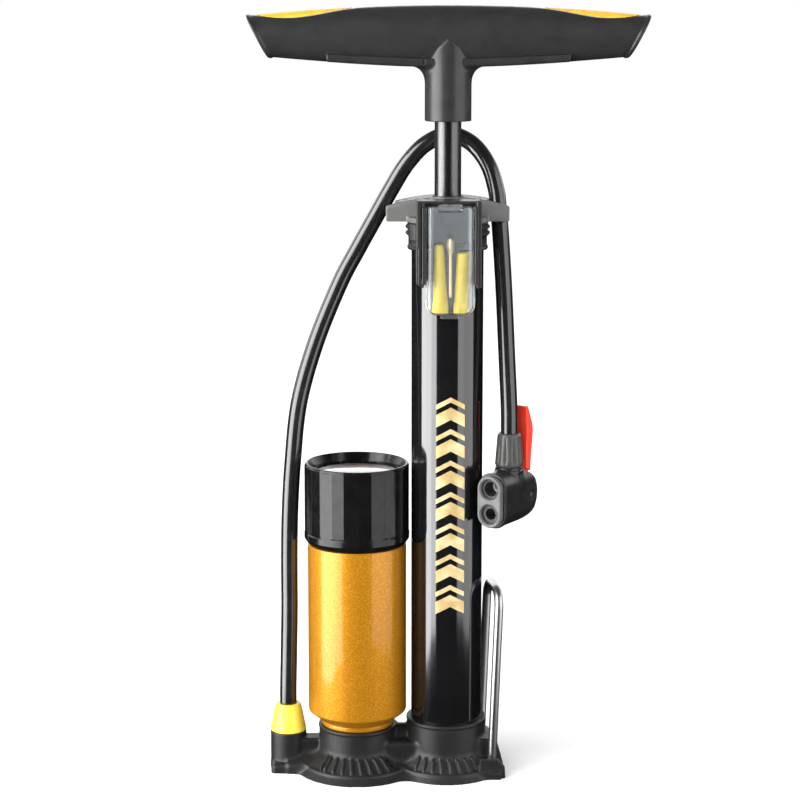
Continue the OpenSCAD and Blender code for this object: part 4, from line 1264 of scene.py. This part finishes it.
def make_head_nut():
    """Fluted nut where the hose enters the pump head. The flutes run out in arches under the rim."""
    low, high = low_of("head_collar")[2], high_of("head_collar")[2]
    flutes = 10

    def fluted(angles, radius, height):
        share = step_up(height, low + 1.6, low + 3.0) * (1 - step_up(height, high - 3.6, high - 1.4))
        wave = np.abs(np.sin(flutes * angles / 2)) ** 0.7
        return radius - (0.95 * share * (1 - wave) if radius > 5.6 else 0)

    nut = revolve("hose_nut_fluted", [
        (4.6, low, 0.2), (6.8, low, 0.4), (7.5, low + 1.3, 0.6), (7.45, low + 4, 2), (6.3, high - 1.4, 1.2),
        (5.6, high, 0.5), (HOSE_R + 0.15, high, 0.3), (HOSE_R + 0.15, low + 3), (4.6, low + 3),
    ], (HEAD_X, HEAD_Y), 200, 40, fluted)
    place(nut, "collar_grey", "pump", "head_collar")


# ------------------------------------------------------------------ rod and handle

def make_rod():
    low, high = low_of("piston_rod")[2], high_of("piston_rod")[2]
    rod = revolve("piston_rod_steel", [
        (0, low), (ROD_R, low, 0.5), (ROD_R, high, 0.5), (0, high),
    ], (0, 0), 96, 35)
    place(rod, "rod_steel", "handle", "piston_rod")


SAG = 5.4            # drop of the handle's arched top from the middle to its tips
BAR_LOW = 380.0      # underside of the bar at the middle
GRIP_HALF = 12.35    # half the depth of the bar
PAD_IN, PAD_OUT = 42.0, 101.0


def bar_top(x):
    return HANDLE_TOP - SAG * (x / HANDLE_HALF) ** 2


def bar_low(x):
    return BAR_LOW + 5.2 * np.clip((np.abs(x) - 8) / 86, 0, None) ** 1.5


def bar_end(x, z):
    """Distance past the slanted end of the bar."""
    return 0.889 * (np.abs(x) - HANDLE_HALF) - 0.459 * (z - (HANDLE_TOP - SAG))


def bar_field(x, y, z):
    """The bar without its ends cut: an oval section that follows the arched top."""
    top, low = bar_top(x), bar_low(x)
    middle, half = (top + low) / 2, (top - low) / 2
    power = 2.25
    ratio = (np.abs(y) / GRIP_HALF) ** power + (np.abs(z - middle) / half) ** power
    return (ratio ** (1 / power) - 1) * GRIP_HALF


def pad_low(x):
    """Lower edge of the yellow pads."""
    t = np.clip((np.abs(x) - PAD_IN) / (PAD_OUT - PAD_IN), 0, 1)
    return bar_top(x) - 3.4 * np.sin(math.pi * t**1.55)


def handle_field(x, y, z):
    """T handle on a neck: an arched oval bar with flanged slanted ends and a ledge low on each side."""
    bar = bar_field(x, y, z)
    end = bar_end(x, z)
    wide = np.abs(x)
    grip = meet(bar, end + 0.9, 0.8)
    flange = meet(bar - 0.7, slab(end, -2.0, -0.1), 0.9)
    bar = join(grip, flange, 1.0)
    plug = meet(bar_field(x, y, z) + 2.6, -0.9 - end, 0.4)
    bar = cut(bar, plug, 0.4)
    line = 384.4 + 2.2 * np.clip((wide - 12) / 50, 0, 1)
    ledge = meet(meet(np.abs(y) - 10.7, bar_low(x) + 0.1 - z, 2.5), z - line, 0.35)
    ledge = meet(ledge, wide - 63, 0.6)
    bar = join(bar, ledge, 0.15)
    nick = block(x, np.abs(y), z, (-13.4, 9.8, 382), (-12.2, 13, 386.5), 0.3)
    bar = cut(bar, nick, 0.2)
    neck = meet(np.hypot(x, y) - 12.2 - 1.0 * step_up(z, 372, 392), slab(z, NECK_Z, 398), 0.5)
    neck = meet(neck, (z - 394.5 + 0.86 * wide) * 0.76, 0.6)
    fillet_r = 0.25 + 7.0 * np.clip(1 - (np.abs(y) / 10.5) ** 2, 0, 1)
    made = join(bar, neck, fillet_r)
    pad_space = meet(pad_low(x) - z, slab(wide, PAD_IN, PAD_OUT))
    made = cut(made, pad_space, 0.3)
    return cut(made, post(x, y, z, ROD_R, NECK_Z - 2, 399))


def pad_field(x, y, z):
    made = meet(bar_field(x, y, z) - 0.05, pad_low(x) + 0.2 - z, 0.4)
    return meet(made, slab(np.abs(x), PAD_IN + 0.2, PAD_OUT - 0.2), 0.4)


def make_handle():
    low, high = low_of("handle_body"), high_of("handle_body")
    handle = shaped("handle_moulding", handle_field, low, high, 0.62)
    place(handle, "handle_black", "handle", "handle_body")
    for node, name in (("handle_pad_left", "grip_pad_left"), ("handle_pad_right", "grip_pad_right")):
        pad = shaped(name, pad_field, low_of(node) - 0.5, high_of(node) + 0.5, 0.4)
        place(pad, "pad_yellow", "handle", node)


# ------------------------------------------------------------------ foot pedal

def make_pedal():
    """Bent wire loop, folded up: feet turned inward into the base, and round upper corners."""
    wire_r, bend, half, foot_bend = 2.4, 9.0, 15.0, 2.6
    top = (PEDAL_TOP - wire_r - HINGE_Z) / math.cos(PEDAL_LEAN)
    path = [(9.0, 0.0)]
    for s in range(7):
        a = math.radians(-90 + 15 * s)
        path.append((half - foot_bend + foot_bend * math.cos(a), foot_bend + foot_bend * math.sin(a)))
    for s in range(13):
        a = math.radians(7.5 * s)
        path.append((half - bend + bend * math.cos(a), top - bend + bend * math.sin(a)))
    path += [(-v, h) for v, h in reversed(path)]
    c, s = math.cos(PEDAL_TURN), math.sin(PEDAL_TURN)
    points = []
    for v, h in path:
        u = h * math.sin(PEDAL_LEAN)
        points.append((PEDAL_X + c * u - s * v, s * u + c * v, HINGE_Z + h * math.cos(PEDAL_LEAN)))
    wire = tube_curve("foot_pedal_wire", points, wire_r, 10)
    place(wire, "steel", "pedal", "foot_pedal")


# ------------------------------------------------------------------ carried-over pieces

def finish_cad_nodes():
    """Inner pieces keep their CAD mesh and get the finish of their slot."""
    slots = {row["node"]: row["material_slot"] for row in frame["record"]["subparts"]}
    for node, obj in frame["nodes"].items():
        obj.data.materials.clear()
        obj.data.materials.append(FINISH[slots[node]])


# ------------------------------------------------------------------ scene

bpy.context.scene.view_settings.view_transform = "Standard"
make_camera()
FINISH = make_finishes()
make_hose()
make_world()
make_floor()
softbox("left_inner", (-0.70, -0.98), (-0.95, -0.73), -0.33, 1.3, 13)
softbox("left_outer", (-0.95, -0.73), (-1.20, 0.0), -0.345, 1.3, 38)
softbox("right_inner", (0.66, -1.00), (0.95, -0.73), -0.30, 1.3, 5.5)
softbox("right_outer", (0.95, -0.73), (1.20, 0.0), -0.31, 1.3, 9)
fill_light()
finish_cad_nodes()
make_hose_nut()
make_base()
make_barrel()
make_barrel_collar()
make_cap()
make_holder()
make_case()
make_adaptors()
make_tank()
make_gauge_cap()
make_dial()
make_needle()
make_head()
make_head_nut()
make_rod()
make_handle()
make_pedal()
